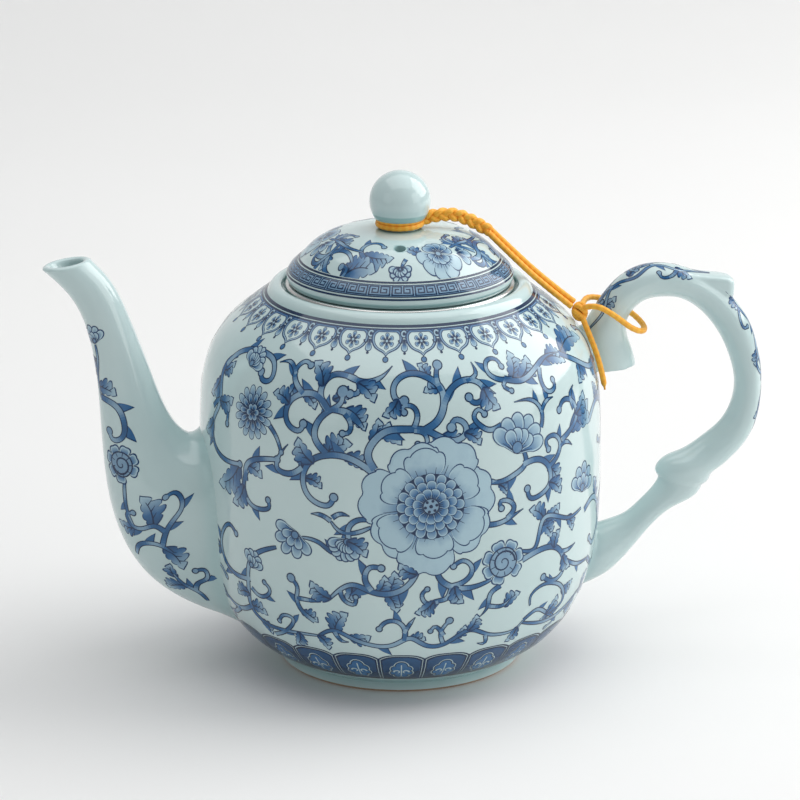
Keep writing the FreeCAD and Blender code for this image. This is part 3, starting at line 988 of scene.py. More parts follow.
def paint_lotus(sheet: Sheet, centre: Point, size: float, facing: float, petals: int = 7, spread: float = 78.0,
                lobes: int = 1) -> None:
    """A flower seen from the side, opening one way.

    Args:
        sheet: the painting.
        centre: its heart.
        size: how far its petals reach.
        facing: the way it opens; 90 is up.
        petals: how many on its back row.
        spread: how far the outermost lean, in degrees.
        lobes: bumps on each petal's edge.
    """
    order = sorted(range(petals), key=lambda k: abs(k - (petals - 1) / 2))
    for k in order:
        lean = (k / (petals - 1) - 0.5) * 2 * spread
        reach = size * (1.0 - 0.12 * abs(lean) / spread)
        paint_petal(sheet, centre, facing + lean, 0.0, size * 0.42, reach, lobes, 0.88, 0.02, 0.38, 0.5)
    for k in range(petals - 2):
        lean = (k / max(petals - 3, 1) - 0.5) * 1.3 * spread
        paint_petal(sheet, centre, facing + lean, 0.0, size * 0.34, size * 0.60, 1, 0.8, 0.0, 0.35, 0.4)
    ahead = (math.cos(math.radians(facing)), math.sin(math.radians(facing)))
    heart = (centre[0] + ahead[0] * size * 0.1, centre[1] + ahead[1] * size * 0.1)
    sheet.ball(heart, size * 0.17, 0.35, 0.4)


def paint_bud(sheet: Sheet, centre: Point, radius: float, facing: float) -> None:
    """A round leafy bud with overlapping sepals and a spiral heart."""
    for k in range(7):
        lean = (k - 3) * 48
        paint_petal(sheet, centre, facing + lean, radius * 0.35, radius * 0.62, radius * 0.66,
                    2, 0.9, 0.1, 0.4, 0.4)
    sheet.disc(centre, radius * 0.72, Ink.LINE, 0.9, 22)
    sheet.disc(centre, radius * 0.72 - 0.45, Ink.WASH, 0.3, 22)
    a = np.linspace(0, 3.1 * np.pi, 30)
    r = radius * 0.60 * (1 - a / (3.4 * np.pi))
    spiral = np.stack([centre[0] + r * np.cos(a), centre[1] + r * np.sin(a)], 1)
    sheet.strip(spiral, np.linspace(0.34, 0.16, 30), Ink.LINE)
    for k in range(9):
        b = math.radians(40 * k)
        p = np.array([[math.cos(b) * f, math.sin(b) * f] for f in (radius * 0.44, radius * 0.66)]) + centre
        sheet.strip(p, 0.14, Ink.LINE)


# The scroll round one side of the pot, laid out flat: millimetres round the
# belly from the front, and millimetres up the wall from the foot.
SCROLL_STEMS = [
    Stem(End.HOOK, 2.0, [(-15, 82), (-20.5, 86), (-25.5, 88), (-31, 88), (-36.5, 85.5), (-39, 81),
         (-38, 75.5), (-34, 72.5), (-30.5, 72.5), (-29, 75)]),
    Stem(End.BULB, 2.0, [(-31.5, 88.5), (-35.5, 93.5), (-34.5, 98), (-31, 101.5), (-27.5, 104.5),
         (-27.5, 107.5)]),
    Stem(End.LEAF, 1.8, [(-31.5, 101.5), (-26, 101.5), (-22.5, 99.5), (-20, 97)]),
    Stem(End.HOOK, 1.6, [(-26, 101), (-24, 98), (-24.5, 95.5), (-26.5, 95)]),
    Stem(End.HOOK, 2.0, [(-31.5, 101.5), (-34.5, 105), (-34.5, 109.5), (-31.5, 112.5), (-26.5, 112.5),
         (-22.5, 110.5), (-22.5, 107.5), (-25, 107)]),
    Stem(End.TIP, 1.6, [(-34.5, 109), (-34.5, 112), (-36.5, 115)]),
    Stem(End.TIP, 1.8, [(-26.5, 112.5), (-21, 111), (-15.5, 112.5), (-11.5, 116.5)]),
    Stem(End.HOOK, 2.0, [(-31.5, 101.5), (-36, 105.5), (-41, 105.5), (-45.5, 102), (-46, 98), (-44, 95),
         (-40.5, 94.5), (-39.5, 96.5)]),
    Stem(End.HOOK, 1.8, [(-41, 105.5), (-45, 109), (-46, 113), (-43.5, 115.5), (-41, 114.5)]),
    Stem(End.TIP, 1.4, [(-45.5, 111), (-50, 114.5), (-54, 113.5)]),
    Stem(End.HOOK, 2.2, [(-16.5, 84.5), (-18.5, 89), (-16.5, 93.5), (-12.5, 96.5), (-7, 97), (-1, 96.5),
         (4, 94), (8, 93), (11.5, 95), (11, 98), (8, 99), (7, 97)]),
    Stem(End.HOOK, 2.2, [(-1.5, 96.5), (2.5, 99), (5, 104), (4.5, 109), (0.5, 112.5), (-4.5, 114),
         (-9, 112.5), (-11, 109), (-9.5, 105.5), (-7.5, 105.5)]),
    Stem(End.BULB, 1.8, [(4.5, 108), (3.5, 112.5), (4.5, 116.5)]),
    Stem(End.HOOK, 2.0, [(5, 104), (7.5, 108), (11.5, 110.5), (16, 110.5), (19, 107.5), (17.5, 104),
         (14.5, 104), (13.5, 105.5)]),
    Stem(End.TIP, 1.4, [(13.5, 110.5), (17.5, 112.5), (17, 116.5)]),
    Stem(End.TIP, 1.6, [(17.5, 110), (20.5, 107), (23, 105.5)]),
    Stem(End.HOOK, 1.6, [(-4.5, 97.5), (-3.5, 101.5), (-5.5, 104), (-8, 103.5), (-7.5, 102)]),
    Stem(End.HOOK, 1.4, [(-4.5, 96.5), (-1, 95), (-1, 92), (-3.5, 92.5)]),
    Stem(End.TAIL, 1.8, [(31, 87), (32, 83), (28, 80), (22.5, 78.5), (17.5, 79)]),
    Stem(End.HOOK, 1.8, [(31, 82.5), (36.5, 83), (41.5, 79.5), (42, 74.5), (38, 71.5), (33.5, 71.5),
         (32.5, 74.5)]),
    Stem(End.HOOK, 1.6, [(23.5, 96), (19.5, 95), (16, 97), (14.5, 100), (16, 101.5), (18, 100)]),
    Stem(End.HOOK, 1.6, [(30.5, 109), (24.5, 110), (22, 112.5), (23, 116), (27, 116), (28, 113.5)]),
    Stem(End.HOOK, 1.4, [(28.5, 109.5), (26.5, 107.5), (29, 105.5)]),
    Stem(End.TIP, 1.8, [(27.5, 109.5), (33.5, 108), (40.5, 110), (49.5, 113), (57, 112.5)]),
    Stem(End.HOOK, 1.6, [(43.5, 110.5), (42, 106), (44, 102.5), (47.5, 103.5), (47.5, 105.5)]),
    Stem(End.TIP, 1.4, [(38.5, 92.5), (39.5, 96.5), (37.5, 100.5), (29, 102)]),
    Stem(End.TIP, 1.4, [(39, 97), (42, 100), (45.5, 100.5)]),
    Stem(End.HOOK, 1.6, [(41.5, 79.5), (45.5, 82), (47, 85.5), (43.5, 89), (40.5, 88), (41.5, 85)]),
    Stem(End.TIP, 1.4, [(46.5, 84.5), (49.5, 85.5), (53.5, 83.5)]),
    Stem(End.HOOK, 1.8, [(48, 86.5), (53.5, 89), (57, 92.5), (55, 97), (49.5, 98), (47.5, 96)]),
    Stem(End.TIP, 1.6, [(55.5, 94.5), (54.5, 99), (57.5, 101.5)]),
    Stem(End.HOOK, 1.8, [(-75.5, 111.5), (-80, 107.5), (-79.5, 102), (-77.5, 96), (-81.5, 88.5),
         (-81, 82.5), (-73.5, 78.5), (-64.5, 79)]),
    Stem(End.HOOK, 2.0, [(-79.5, 107), (-76.5, 111.5), (-70.5, 114.5), (-62, 115), (-55.5, 112),
         (-55, 107.5), (-58.5, 107), (-60, 109)]),
    Stem(End.HOOK, 1.8, [(-61.5, 74.5), (-61.5, 79), (-54.5, 83), (-48.5, 84)]),
    Stem(End.HOOK, 1.6, [(-61, 78), (-62.5, 72.5), (-60, 68), (-54.5, 67), (-51.5, 68.5), (-52, 70.5)]),
    Stem(End.HOOK, 1.6, [(-82, 93), (-78, 96), (-72.5, 94.5), (-72, 90)]),
    Stem(End.TIP, 1.8, [(-39.5, 83), (-43.5, 80.5), (-48.5, 81.5), (-47, 86.5), (-44.5, 89.5)]),
    Stem(End.HOOK, 1.4, [(-52.5, 94.5), (-49, 91), (-47, 86.5)]),
    Stem(End.TAIL, 1.8, [(-17, 68.5), (-21.5, 68.5), (-24.5, 65.5), (-24.5, 61.5), (-28.5, 57.5),
         (-33.5, 60), (-39.5, 61)]),
    Stem(End.TAIL, 1.4, [(-17.5, 66.5), (-22, 64.5), (-27, 64.5), (-30, 67.5)]),
    Stem(End.TIP, 1.4, [(-30, 67.5), (-33, 69), (-36.5, 69)]),
    Stem(End.TIP, 1.4, [(-29.5, 68.5), (-27, 70), (-24, 69.5)]),
    Stem(End.TAIL, 1.8, [(-49, 56), (-55, 53.5), (-60.5, 49), (-62.5, 43), (-63.5, 37), (-64, 32),
         (-60.5, 28), (-52.5, 26.5), (-44, 27), (-36.5, 27.5)]),
    Stem(End.HOOK, 1.6, [(-61.5, 42.5), (-69.5, 42), (-74.5, 44.5), (-76.5, 49), (-75, 54.5), (-70, 58),
         (-67, 56)]),
    Stem(End.HOOK, 1.4, [(-61.5, 39.5), (-57.5, 37.5), (-53, 41), (-55, 43)]),
    Stem(End.HOOK, 1.4, [(-56, 23.5), (-48, 28), (-45.5, 32.5), (-48.5, 33), (-51.5, 30)]),
    Stem(End.BULB, 1.6, [(-37, 33), (-41, 36), (-42.5, 40.5), (-42, 44.5), (-44, 47)]),
    Stem(End.TIP, 1.4, [(-42.5, 40.5), (-38.5, 40.5), (-34, 40.5)]),
    Stem(End.TAIL, 2.0, [(-2.5, 55.5), (-4, 51.5), (-7.5, 47), (-13, 45), (-18.5, 46), (-23.5, 47.5),
         (-27.5, 45.5), (-31, 42)]),
    Stem(End.HOOK, 1.8, [(-17.5, 46), (-19.5, 50), (-18, 53.5), (-14.5, 53.5)]),
    Stem(End.HOOK, 1.4, [(-27.5, 45.5), (-25.5, 41.5), (-23, 41), (-22.5, 43.5)]),
    Stem(End.TAIL, 2.0, [(2, 54.5), (3.5, 49.5), (8, 46.5), (14.5, 46), (20, 47.5)]),
    Stem(End.HOOK, 1.6, [(7, 47), (11.5, 48.5), (13.5, 52), (10.5, 55), (7.5, 53.5)]),
    Stem(End.TIP, 1.6, [(7, 46.5), (5.5, 43), (1.5, 42), (-1, 37)]),
    Stem(End.HOOK, 1.4, [(3, 42), (-1, 42), (-2, 45), (-0.5, 46.5)]),
    Stem(End.TIP, 1.4, [(6.5, 45), (7.5, 42), (10.5, 41)]),
    Stem(End.TAIL, 1.6, [(30.5, 55), (35.5, 54.5), (37.5, 59), (39.5, 63.5), (46, 62.5), (52.5, 60.5),
         (59.5, 61.5)]),
    Stem(End.HOOK, 1.8, [(31, 52), (37, 53.5), (44.5, 53), (49.5, 48.5), (50, 43), (45.5, 41.5), (40.5, 44)]),
    Stem(End.TIP, 1.4, [(48, 50.5), (52, 50), (56.5, 51)]),
    Stem(End.TAIL, 1.4, [(49.5, 48), (58, 43.5), (69, 42)]),
    Stem(End.TIP, 1.6, [(23.5, 45), (20, 42.5), (19.5, 38.5), (17, 35)]),
    Stem(End.TIP, 1.4, [(20, 38.5), (25.5, 38), (28, 40)]),
    Stem(End.TAIL, 1.8, [(-36.5, 27.5), (-30.5, 30.5), (-25.5, 28.5), (-19, 26), (-10.5, 26.5),
         (-5.5, 29), (-0.5, 26), (5, 25.5), (10, 28.5), (14, 30.5), (20.5, 28), (27, 26.5), (33, 27.5),
         (35, 30)]),
    Stem(End.HOOK, 1.6, [(-7.5, 28), (-7.5, 33), (-10, 35.5), (-13.5, 35), (-15.5, 32.5)]),
    Stem(End.TIP, 1.4, [(-7.5, 31), (-6, 34), (-4, 37)]),
    Stem(End.BULB, 1.4, [(5.5, 26.5), (4.5, 31), (7, 35)]),
    Stem(End.HOOK, 1.4, [(5.5, 29.5), (2, 33), (1, 31.5)]),
    Stem(End.TIP, 1.4, [(20.5, 27.5), (21, 24), (18, 24.5)]),
    Stem(End.HOOK, 1.4, [(35, 30), (40, 32.5), (46.5, 29.5), (53.5, 24), (50, 22.5)]),
    Stem(End.TAIL, 1.4, [(48, 29), (54.5, 31.5), (52.5, 36.5), (46, 40.5), (39.5, 41), (36, 38.5),
         (36.5, 35)]),
    Stem(End.TIP, 1.6, [(-30.5, 30), (-28, 26.5), (-26, 26.5)]),
    Stem(End.TIP, 1.6, [(18, 65.5), (22.5, 65.5), (27, 67), (31, 68.5)]),
    Stem(End.HOOK, 1.6, [(25, 66.5), (27.5, 69.5), (25.5, 72), (22.5, 72), (23, 70)]),
    Stem(End.TIP, 1.6, [(17.5, 79), (21.5, 79)]),
]
SCROLL_LEAVES = [
    Leaf(5, 1, (-32, 88), (-23.5, 92)), Leaf(4, 1, (-25.5, 88), (-19.5, 84.5)),
    Leaf(4, 1, (-38, 80), (-33, 77.5)), Leaf(4, -1, (-39.5, 83.5), (-42, 88.5)),
    Leaf(5, 1, (-26, 102), (-19.5, 96.5)), Leaf(4, -1, (-30, 105), (-26, 109)),
    Leaf(4, 1, (-40.5, 105.5), (-36, 101.5)), Leaf(4, 1, (-44.5, 108.5), (-47, 103.5)),
    Leaf(4, -1, (4.5, 108.5), (-1, 108)), Leaf(4, -1, (0.5, 112.5), (-2.5, 117)),
    Leaf(4, -1, (-17.5, 93.5), (-15.5, 100)), Leaf(4, -1, (-15.5, 95), (-12, 99)),
    Leaf(4, 1, (-14.5, 95.5), (-8.5, 92.5)), Leaf(4, 1, (4, 94.5), (9.5, 90.5)),
    Leaf(5, -1, (30.5, 109), (33.5, 118)), Leaf(5, -1, (33.5, 108.5), (40, 115)),
    Leaf(5, 1, (49, 112.5), (58, 109)), Leaf(5, 1, (58.5, 112.5), (80, 111.5)),
    Leaf(4, 1, (52.5, 89), (67, 87.5)), Leaf(4, -1, (56, 93), (66, 94.5)),
    Leaf(4, 1, (41.5, 79.5), (45.5, 73.5)), Leaf(4, 1, (-80, 102.5), (-85, 96.5)),
    Leaf(4, -1, (-79.5, 105), (-75, 109)), Leaf(4, 1, (-61.5, 79.5), (-54.5, 77)),
    Leaf(5, 1, (-64.5, 79), (-76.5, 70)), Leaf(4, -1, (-76.5, 49), (-90, 40)),
    Leaf(4, 1, (-63.5, 32.5), (-56.5, 31)), Leaf(5, 1, (-60.5, 28), (-57.5, 23)),
    Leaf(4, 1, (-41, 35.5), (-36, 33)), Leaf(5, 1, (-30.5, 30), (-25.5, 37.5)),
    Leaf(4, -1, (-25.5, 28.5), (-18.5, 29.5)), Leaf(5, 1, (-13, 45), (-10, 38.5)),
    Leaf(4, -1, (-13, 45.5), (-10.5, 52.5)), Leaf(4, -1, (-15.5, 45.5), (-13.5, 51)),
    Leaf(4, 1, (-23.5, 47.5), (-26, 41.5)), Leaf(4, -1, (39.5, 63.5), (33.5, 67.5)),
    Leaf(5, -1, (40, 63.5), (46.5, 66.5)), Leaf(5, 1, (39, 61.5), (43, 56.5)),
    Leaf(4, 1, (51, 61), (54, 56)), Leaf(4, 1, (26, 37.5), (31, 41)), Leaf(4, 1, (-5.5, 29), (-0.5, 28)),
    Leaf(4, -1, (10, 28.5), (12.5, 32.5)), Leaf(4, 1, (48, 29), (44, 27.5)),
    Leaf(5, -1, (52, 36), (58, 38)), Leaf(4, 1, (22.5, 77.5), (25, 74)),
]


# ------------------------------------------------------------------ pot surfaces
def turned_wrap(line: Curve, radius: float, proud: float) -> Wrap:
    """Carries flat points onto a turned wall.

    Args:
        line: the wall's section.
        radius: where a millimetre of the drawing is a millimetre of the wall.
        proud: how far the paint stands off, in millimetres.

    Returns:
        A function giving points and normals for (round, up) pairs.
    """

    def carry(uv: np.ndarray) -> tuple[np.ndarray, np.ndarray]:
        """Points and normals in metres."""
        v = np.clip(uv[:, 1], 0.0, line.length)
        p = line.at(v)
        d = line.at(np.minimum(v + 0.05, line.length)) - line.at(np.maximum(v - 0.05, 0.0))
        d /= np.linalg.norm(d, axis=1)[:, None]
        a = uv[:, 0] / radius
        out = np.stack([np.sin(a) * d[:, 1], -np.cos(a) * d[:, 1], -d[:, 0]], 1)
        place = np.stack([np.sin(a) * p[:, 0], -np.cos(a) * p[:, 0], p[:, 1]], 1)
        return (place + out * proud) * MM, out

    return carry


@dataclass
class PotShape:
    """Sizes of the thrown and slip-cast pot, in millimetres."""

    belly_r: float = 63.2
    shoulder_z: float = 119.6
    foot_r: float = 38.4
    foot_h: float = 3.6
    foot_wall: float = 4.4
    recess: float = 3.0
    floor_z: float = 7.2
    wall: float = 4.4
    ring_r: float = 41.3
    ring_top_z: float = 122.3
    mouth_r: float = 36.6
    ledge_z: float = 119.7
    throat_r: float = 32.5
    side: list[Point] = field(
        default_factory=lambda: [
            (0.636, 0.0360),
            (0.767, 0.0836),
            (0.884, 0.1630),
            (0.968, 0.2843),
            (1.000, 0.4599),
            (0.996, 0.6689),
            (0.948, 0.8361),
            (0.873, 0.9030),
            (0.760, 0.9574),
        ]
    )

    def outer(self) -> Curve:
        """The outer wall from foot to collar ring."""
        knots = [(r * self.belly_r, z * self.shoulder_z) for r, z in self.side]
        return Curve(knots + [(self.ring_r, self.shoulder_z)])

    def collar(self) -> list[Point]:
        """The collar ring from its foot over the top to the mouth."""
        r, top = self.ring_r, self.ring_top_z
        return [
            (r, self.shoulder_z),
            (r - 0.9, top - 1.1),
            (r - 2.7, top),
            (self.mouth_r + 0.5, top - 0.3),
            (self.mouth_r, top - 1.2),
        ]

    def profile(self) -> list[Point]:
        """The whole section, once round."""
        outer = self.outer().even(1.2)
        ring = Curve(self.collar()).even(0.45)
        knots = np.array([(r * self.belly_r, z * self.shoulder_z) for r, z in self.side])
        knots = np.concatenate([knots, [[self.ring_r, self.shoulder_z]]])
        run = knots[2:] - knots[:-2]
        run /= np.linalg.norm(run, axis=1)[:, None]
        inside = (knots[1:-1] + np.stack([-run[:, 1], run[:, 0]], 1) * self.wall)[::-1]
        cavity = [(self.throat_r, self.ledge_z - 3.5), *inside.tolist(), (self.foot_r - 5.0, self.floor_z)]
        inner = self.foot_r - self.foot_wall
        foot = [(0.0, self.recess), (inner, self.recess), (inner, 0.6), (inner + 0.6, 0.0)]
        foot += [(self.foot_r - 0.8, 0.0), (self.foot_r, 0.8), (self.foot_r, self.foot_h - 0.4)]
        path = foot + outer.tolist() + ring[1:].tolist()
        path += [(self.mouth_r, self.ledge_z), (self.throat_r, self.ledge_z)]
        path += Curve(cavity).even(2.2).tolist() + [(0.0, self.floor_z)]
        return [(float(r), float(z)) for r, z in path]

    def _nearest(self, points: np.ndarray) -> tuple[np.ndarray, np.ndarray, np.ndarray]:
        """Section points, and the nearest wall points with their outward directions."""
        line = self.outer().even(0.5)
        flat = np.stack([np.hypot(points[:, 0], points[:, 1]), points[:, 2]], 1)
        best = np.concatenate([((part[:, None, :] - line[None, :, :]) ** 2).sum(2).argmin(1)
                               for part in np.array_split(flat, len(flat) // 4000 + 1)])
        along = np.gradient(line, axis=0)
        along /= np.linalg.norm(along, axis=1)[:, None]
        return flat, line[best], np.stack([along[:, 1], -along[:, 0]], 1)[best]

    def signed_gap(self, points: np.ndarray) -> np.ndarray:
        """Distance in millimetres from the outer wall, negative inside it."""
        flat, wall, outward = self._nearest(points)
        return ((flat - wall) * outward).sum(1)

    def outward(self, points: np.ndarray) -> np.ndarray:
        """The wall's outward direction at the place nearest to each point."""
        flat, _, out = self._nearest(points)
        around = points[:, :2] / np.maximum(flat[:, :1], 1e-6)
        return np.stack([around[:, 0] * out[:, 0], around[:, 1] * out[:, 0], out[:, 1]], 1)

    def wrap(self, proud: float = 0.04) -> Wrap:
        """Carries flat points onto the outer wall.

        Args:
            proud: how far the paint stands off, in millimetres.

        Returns:
            A function giving points and normals for (round, up) pairs.
        """
        return turned_wrap(self.outer(), self.belly_r, proud)


Station = tuple[float, float, float, float, float]


@dataclass
class Limb:
    """A curved limb of the pot, through stations in the XZ plane."""

    stations: list[Station]
    egg: float = 0.0

    def rings(self, count: int, around: int, inset: float = 0.0, low: float = 0.0,
              high: float = 1.0) -> np.ndarray:
        """Rings of points from the first station to the last.

        Args:
            count: number of rings.
            around: points on each.
            inset: how far inside the skin.
            low: where along the limb they start, from 0 to 1.
            high: where they end.

        Returns:
            Points as (ring, place, 3) in millimetres.
        """
        line = Curve(self.stations)
        at = line.at(np.linspace(low, high, count) * line.length)
        return self.skin(at, np.linspace(0, TAU, around, endpoint=False)[None, :], inset)

    def skin(self, at: np.ndarray, turn: np.ndarray, inset: float = 0.0) -> np.ndarray:
        """Points on the skin at stations and turns; a quarter turn faces the back."""
        outer = np.stack([at[:, 0], np.zeros(len(at)), at[:, 1]], 1)
        inner = np.stack([at[:, 2], np.zeros(len(at)), at[:, 3]], 1)
        centre, half = (outer + inner) / 2, (outer - inner) / 2
        size = np.linalg.norm(half, axis=1)[:, None]
        half = half / size * (size - inset)
        c, s = np.cos(turn)[..., None], np.sin(turn)[..., None]
        across = (at[:, 4, None, None] - inset) * s * (1 + self.egg * c)
        return centre[:, None, :] + half[:, None, :] * c + across * np.array([0.0, 1.0, 0.0])

    def length(self) -> float:
        """Length of the run of stations, in their own measure."""
        return Curve(self.stations).length


def held_out(points: np.ndarray, pot: PotShape, buried: float) -> None:
    """Moves points that lie deeper in the pot's wall than `buried` straight out to that depth."""
    gap = pot.signed_gap(points)
    r = np.maximum(np.hypot(points[:, 0], points[:, 1]), 1e-6)
    slip = np.where(gap < -buried, -buried - gap, 0.0)
    points[:, 0] += points[:, 0] / r * slip
    points[:, 1] += points[:, 1] / r * slip


def swept_clay(rings: np.ndarray, pot: PotShape, reach: float, buried: float) -> np.ndarray:
    """Spreads a limb's root onto the pot with a hollow clay fillet.

    Args:
        rings: the limb's rings in millimetres.
        pot: the pot it joins.
        reach: radius of the fillet.
        buried: how deep into the wall the root may go.

    Returns:
        The rings with their roots spread.
    """
    flat = rings.reshape(-1, 3)
    gap = pot.signed_gap(flat)
    middle = np.repeat(rings.mean(1), rings.shape[1], axis=0)
    away = flat - middle
    wall = pot.outward(flat)
    away -= wall * (away * wall).sum(1)[:, None]
    away /= np.maximum(np.linalg.norm(away, axis=1), 1e-6)[:, None]
    near = np.clip(gap + 0.9, 0.0, reach)
    push = reach - np.sqrt(np.maximum(reach**2 - (reach - near) ** 2, 0.0))
    moved = flat + away * push[:, None]
    held_out(moved, pot, buried)
    return moved.reshape(rings.shape)


SPOUT = [
    (-110.6, 129.8, -95.6, 132.2, 6.4),
    (-102.5, 121.1, -90.0, 125.6, 6.3),
    (-96.7, 106.8, -84.2, 113.2, 6.9),
    (-94.6, 91.0, -78.4, 97.0, 8.4),
    (-93.8, 75.0, -72.6, 82.0, 10.8),
    (-92.6, 60.0, -66.0, 75.0, 13.8),
    (-88.9, 44.3, -57.0, 74.5, 16.6),
    (-79.5, 28.8, -46.0, 74.0, 17.4),
    (-64.1, 18.2, -37.0, 72.0, 17.4),
    (-48.0, 12.0, -31.0, 68.0, 16.0),
]
GRIP = [
    (56.0, 91.6, 75.4, 91.9, 7.2),
    (56.0, 96.0, 74.3, 96.4, 6.9),
    (56.8, 101.5, 72.5, 101.6, 6.5),
    (60.0, 108.2, 72.1, 106.3, 6.2),
    (63.7, 114.0, 73.4, 109.4, 6.0),
    (69.2, 120.3, 76.4, 112.4, 6.0),
    (75.8, 124.0, 79.7, 113.7, 6.0),
    (82.4, 124.8, 83.6, 114.0, 6.0),
    (89.2, 123.6, 88.6, 113.4, 6.0),
    (96.6, 120.4, 94.2, 110.4, 6.0),
    (103.4, 115.6, 98.8, 105.8, 6.0),
    (109.4, 108.8, 102.6, 100.2, 6.0),
    (113.6, 100.0, 105.6, 93.4, 5.9),
    (115.8, 89.0, 107.4, 86.0, 5.8),
    (115.6, 77.5, 106.8, 79.0, 5.8),
    (112.4, 67.0, 103.2, 72.0, 5.9),
    (107.0, 60.4, 97.2, 66.9, 6.2),
    (102.8, 56.9, 90.2, 62.6, 6.6),
    (100.4, 54.8, 84.4, 60.0, 6.9),
    (99.6, 52.8, 82.3, 56.6, 6.6),
    (97.6, 51.6, 84.0, 53.9, 5.6),
]
STEM = [
    (98.6, 54.0, 84.4, 56.0, 5.2),
    (96.4, 48.9, 82.6, 52.2, 5.3),
    (88.6, 44.5, 77.7, 46.6, 5.0),
    (80.0, 37.0, 72.9, 42.5, 5.0),
    (73.2, 29.0, 67.8, 40.6, 6.0),
    (66.4, 23.0, 61.6, 39.0, 7.6),
    (58.6, 19.4, 55.0, 38.4, 8.6),
]
LIP = [(90.0, 122.6), (97.0, 121.2), (103.6, 120.3), (105.9, 119.2), (106.2, 117.2), (105.7, 113.4),
       (98.0, 113.0), (90.0, 116.5)]
LIP_HALF_WIDTH = 4.6
GRIP_EGG = 0.14  # how much wider the handle is on its outer side
SPOUT_FILLET = 5.4
HANDLE_FILLET = 3.4
ROOT_BURIED = 1.6  # how deep a limb's root may go into the wall
BORE_BURIED = 0.6  # how deep the spout's bore may go into it
TRIANGLE_ROW = 0.866  # distance of rows of holes set in triangles, in pitches


@dataclass
class Pot:
    """The pot body with its spout and handle."""

    shape: PotShape
    glaze: bpy.types.Material
    clay: bpy.types.Material
    strainer_z: float = 44.0
    strainer_pitch: float = 7.5
    strainer_d: float = 4.0
    spout_wall: float = 2.6

    def body(self) -> bpy.types.Object:
        """The pot wall with its foot, collar and strainer holes."""
        made = turned_mesh("pot_wall", self.shape.profile(), 176)
        cutters = []
        for row in range(-2, 3):
            count = 3 - row % 2
            for column in range(count):
                y = (column - (count - 1) / 2) * self.strainer_pitch
                z = self.strainer_z + row * self.strainer_pitch * TRIANGLE_ROW
                cutters.append(rod((-self.shape.belly_r, y, z), (1, 0, 0), self.strainer_d / 2, 26))
        cut_out(made, joined(cutters, "strainer_cutters"))
        made.data.materials.clear()
        made.data.materials.append(self.glaze)
        made.data.materials.append(self.clay)
        for face in made.data.polygons:
            c = face.center
            low = c.z < 1.5 * MM and math.hypot(c.x, c.y) > 30 * MM
            face.material_index = 1 if low else 0
        pooled_with_shade(made, self._pooled_glaze_and_shade)
        smooth(made, 38)
        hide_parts("pot_base", "pot_body", "pot_shoulder")
        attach(made, "pot")
        return made

    def _pooled_glaze_and_shade(self, p: np.ndarray) -> np.ndarray:
        """Glaze pooled above the foot, round the collar and on the ledge inside the mouth, darkened there as
        painted shade.
        """
        r = np.hypot(p[:, 0], p[:, 1])
        foot = np.exp(-((p[:, 2] - 4.4) / 1.6) ** 2) * (r > 36)
        collar = np.exp(-((p[:, 2] - 119.4) / 0.8) ** 2 - ((r - 41.6) / 1.4) ** 2) * 0.25
        ledge = (p[:, 2] > 116) * (r < 37.0) * 0.7
        return foot * 0.8 + collar + ledge

    def spout(self) -> bpy.types.Object:
        """The bored spout, spread onto the pot at its root."""
        limb = Limb(SPOUT)
        outer = swept_clay(limb.rings(250, 96), self.shape, SPOUT_FILLET, ROOT_BURIED)
        bore = limb.rings(120, 96, self.spout_wall, 0.004, 1.0)
        held_out(bore.reshape(-1, 3), self.shape, BORE_BURIED)
        lip = limb.rings(2, 96, 0.0, 0.0, 0.004)[0]
        middle = lip.mean(0)
        axis = np.cross(lip[24] - middle, lip[0] - middle)
        axis /= np.linalg.norm(axis)
        axis *= np.sign(axis[2])
        rim = []
        for a in np.linspace(0, np.pi, 9)[1:-1]:
            inset = self.spout_wall / 2 * (1 - math.cos(a))
            ring = limb.rings(2, 96, inset, 0.0, 0.004)[0]
            rim.append(ring + axis * self.spout_wall * 0.32 * math.sin(a))
        rings = np.concatenate([outer[::-1], np.array(rim), bore, outer[-1:]]) * MM
        made = grid_mesh("spout_wall", rings)
        made.data.materials.append(self.glaze)
        # Deep teal where the spout meets the wall: pooled glaze, and painted shade in the crease.
        pooled_with_shade(made, lambda p: np.exp(-((self.shape.signed_gap(p) - 0.5) / 2.6) ** 2) * 0.3)
        smooth(made, 60)
        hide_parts("spout_root", "spout_neck", "spout_lip")
        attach(made, "pot")
        return made

    def handle(self) -> bpy.types.Object:
        """Grip, thumb lip and lower stem, worked into one limb."""
        grip, stem = (grid_mesh(label, swept_clay(Limb(stations, GRIP_EGG).rings(count, 48), self.shape,
                                                  HANDLE_FILLET, ROOT_BURIED) * MM, ends=True)
                      for label, stations, count in (("grip", GRIP, 230), ("stem", STEM, 110)))
        corners = np.array(LIP)
        middle = corners.mean(0)
        curve = Curve(np.concatenate([corners, corners[:1]])).even(0.9)
        shares = [(-1.0, 0.72), (-0.82, 0.93), (-0.4, 1.0), (0.4, 1.0), (0.82, 0.93), (1.0, 0.72)]
        rings = []
        for depth, size in shares:
            flat = middle + (curve[:-1] - middle) * size
            rings.append(np.stack([flat[:, 0], np.full(len(flat), depth * LIP_HALF_WIDTH), flat[:, 1]], 1))
        lip = grid_mesh("thumb_lip", np.array(rings) * MM, ends=True)
        made = joined([grip, stem, lip], "handle_limb")
        change = made.modifiers.new("fuse", "REMESH")
        change.mode = "VOXEL"
        change.voxel_size = 0.55 * MM
        change.use_smooth_shade = True
        relax = made.modifiers.new("relax", "SMOOTH")
        relax.factor = 0.5
        relax.iterations = 9
        alone(made)
        bpy.ops.object.modifier_apply(modifier="fuse")
        bpy.ops.object.modifier_apply(modifier="relax")
        made.data.materials.clear()
        made.data.materials.append(self.glaze)
        # Deep teal where the handle meets the wall: pooled glaze, and painted shade in the crease.
        pooled_with_shade(made, lambda p: np.exp(-((self.shape.signed_gap(p) - 0.4) / 2.2) ** 2) * 0.3)
        smooth(made, 180)
        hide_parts("handle")
        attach(made, "pot")
        return made


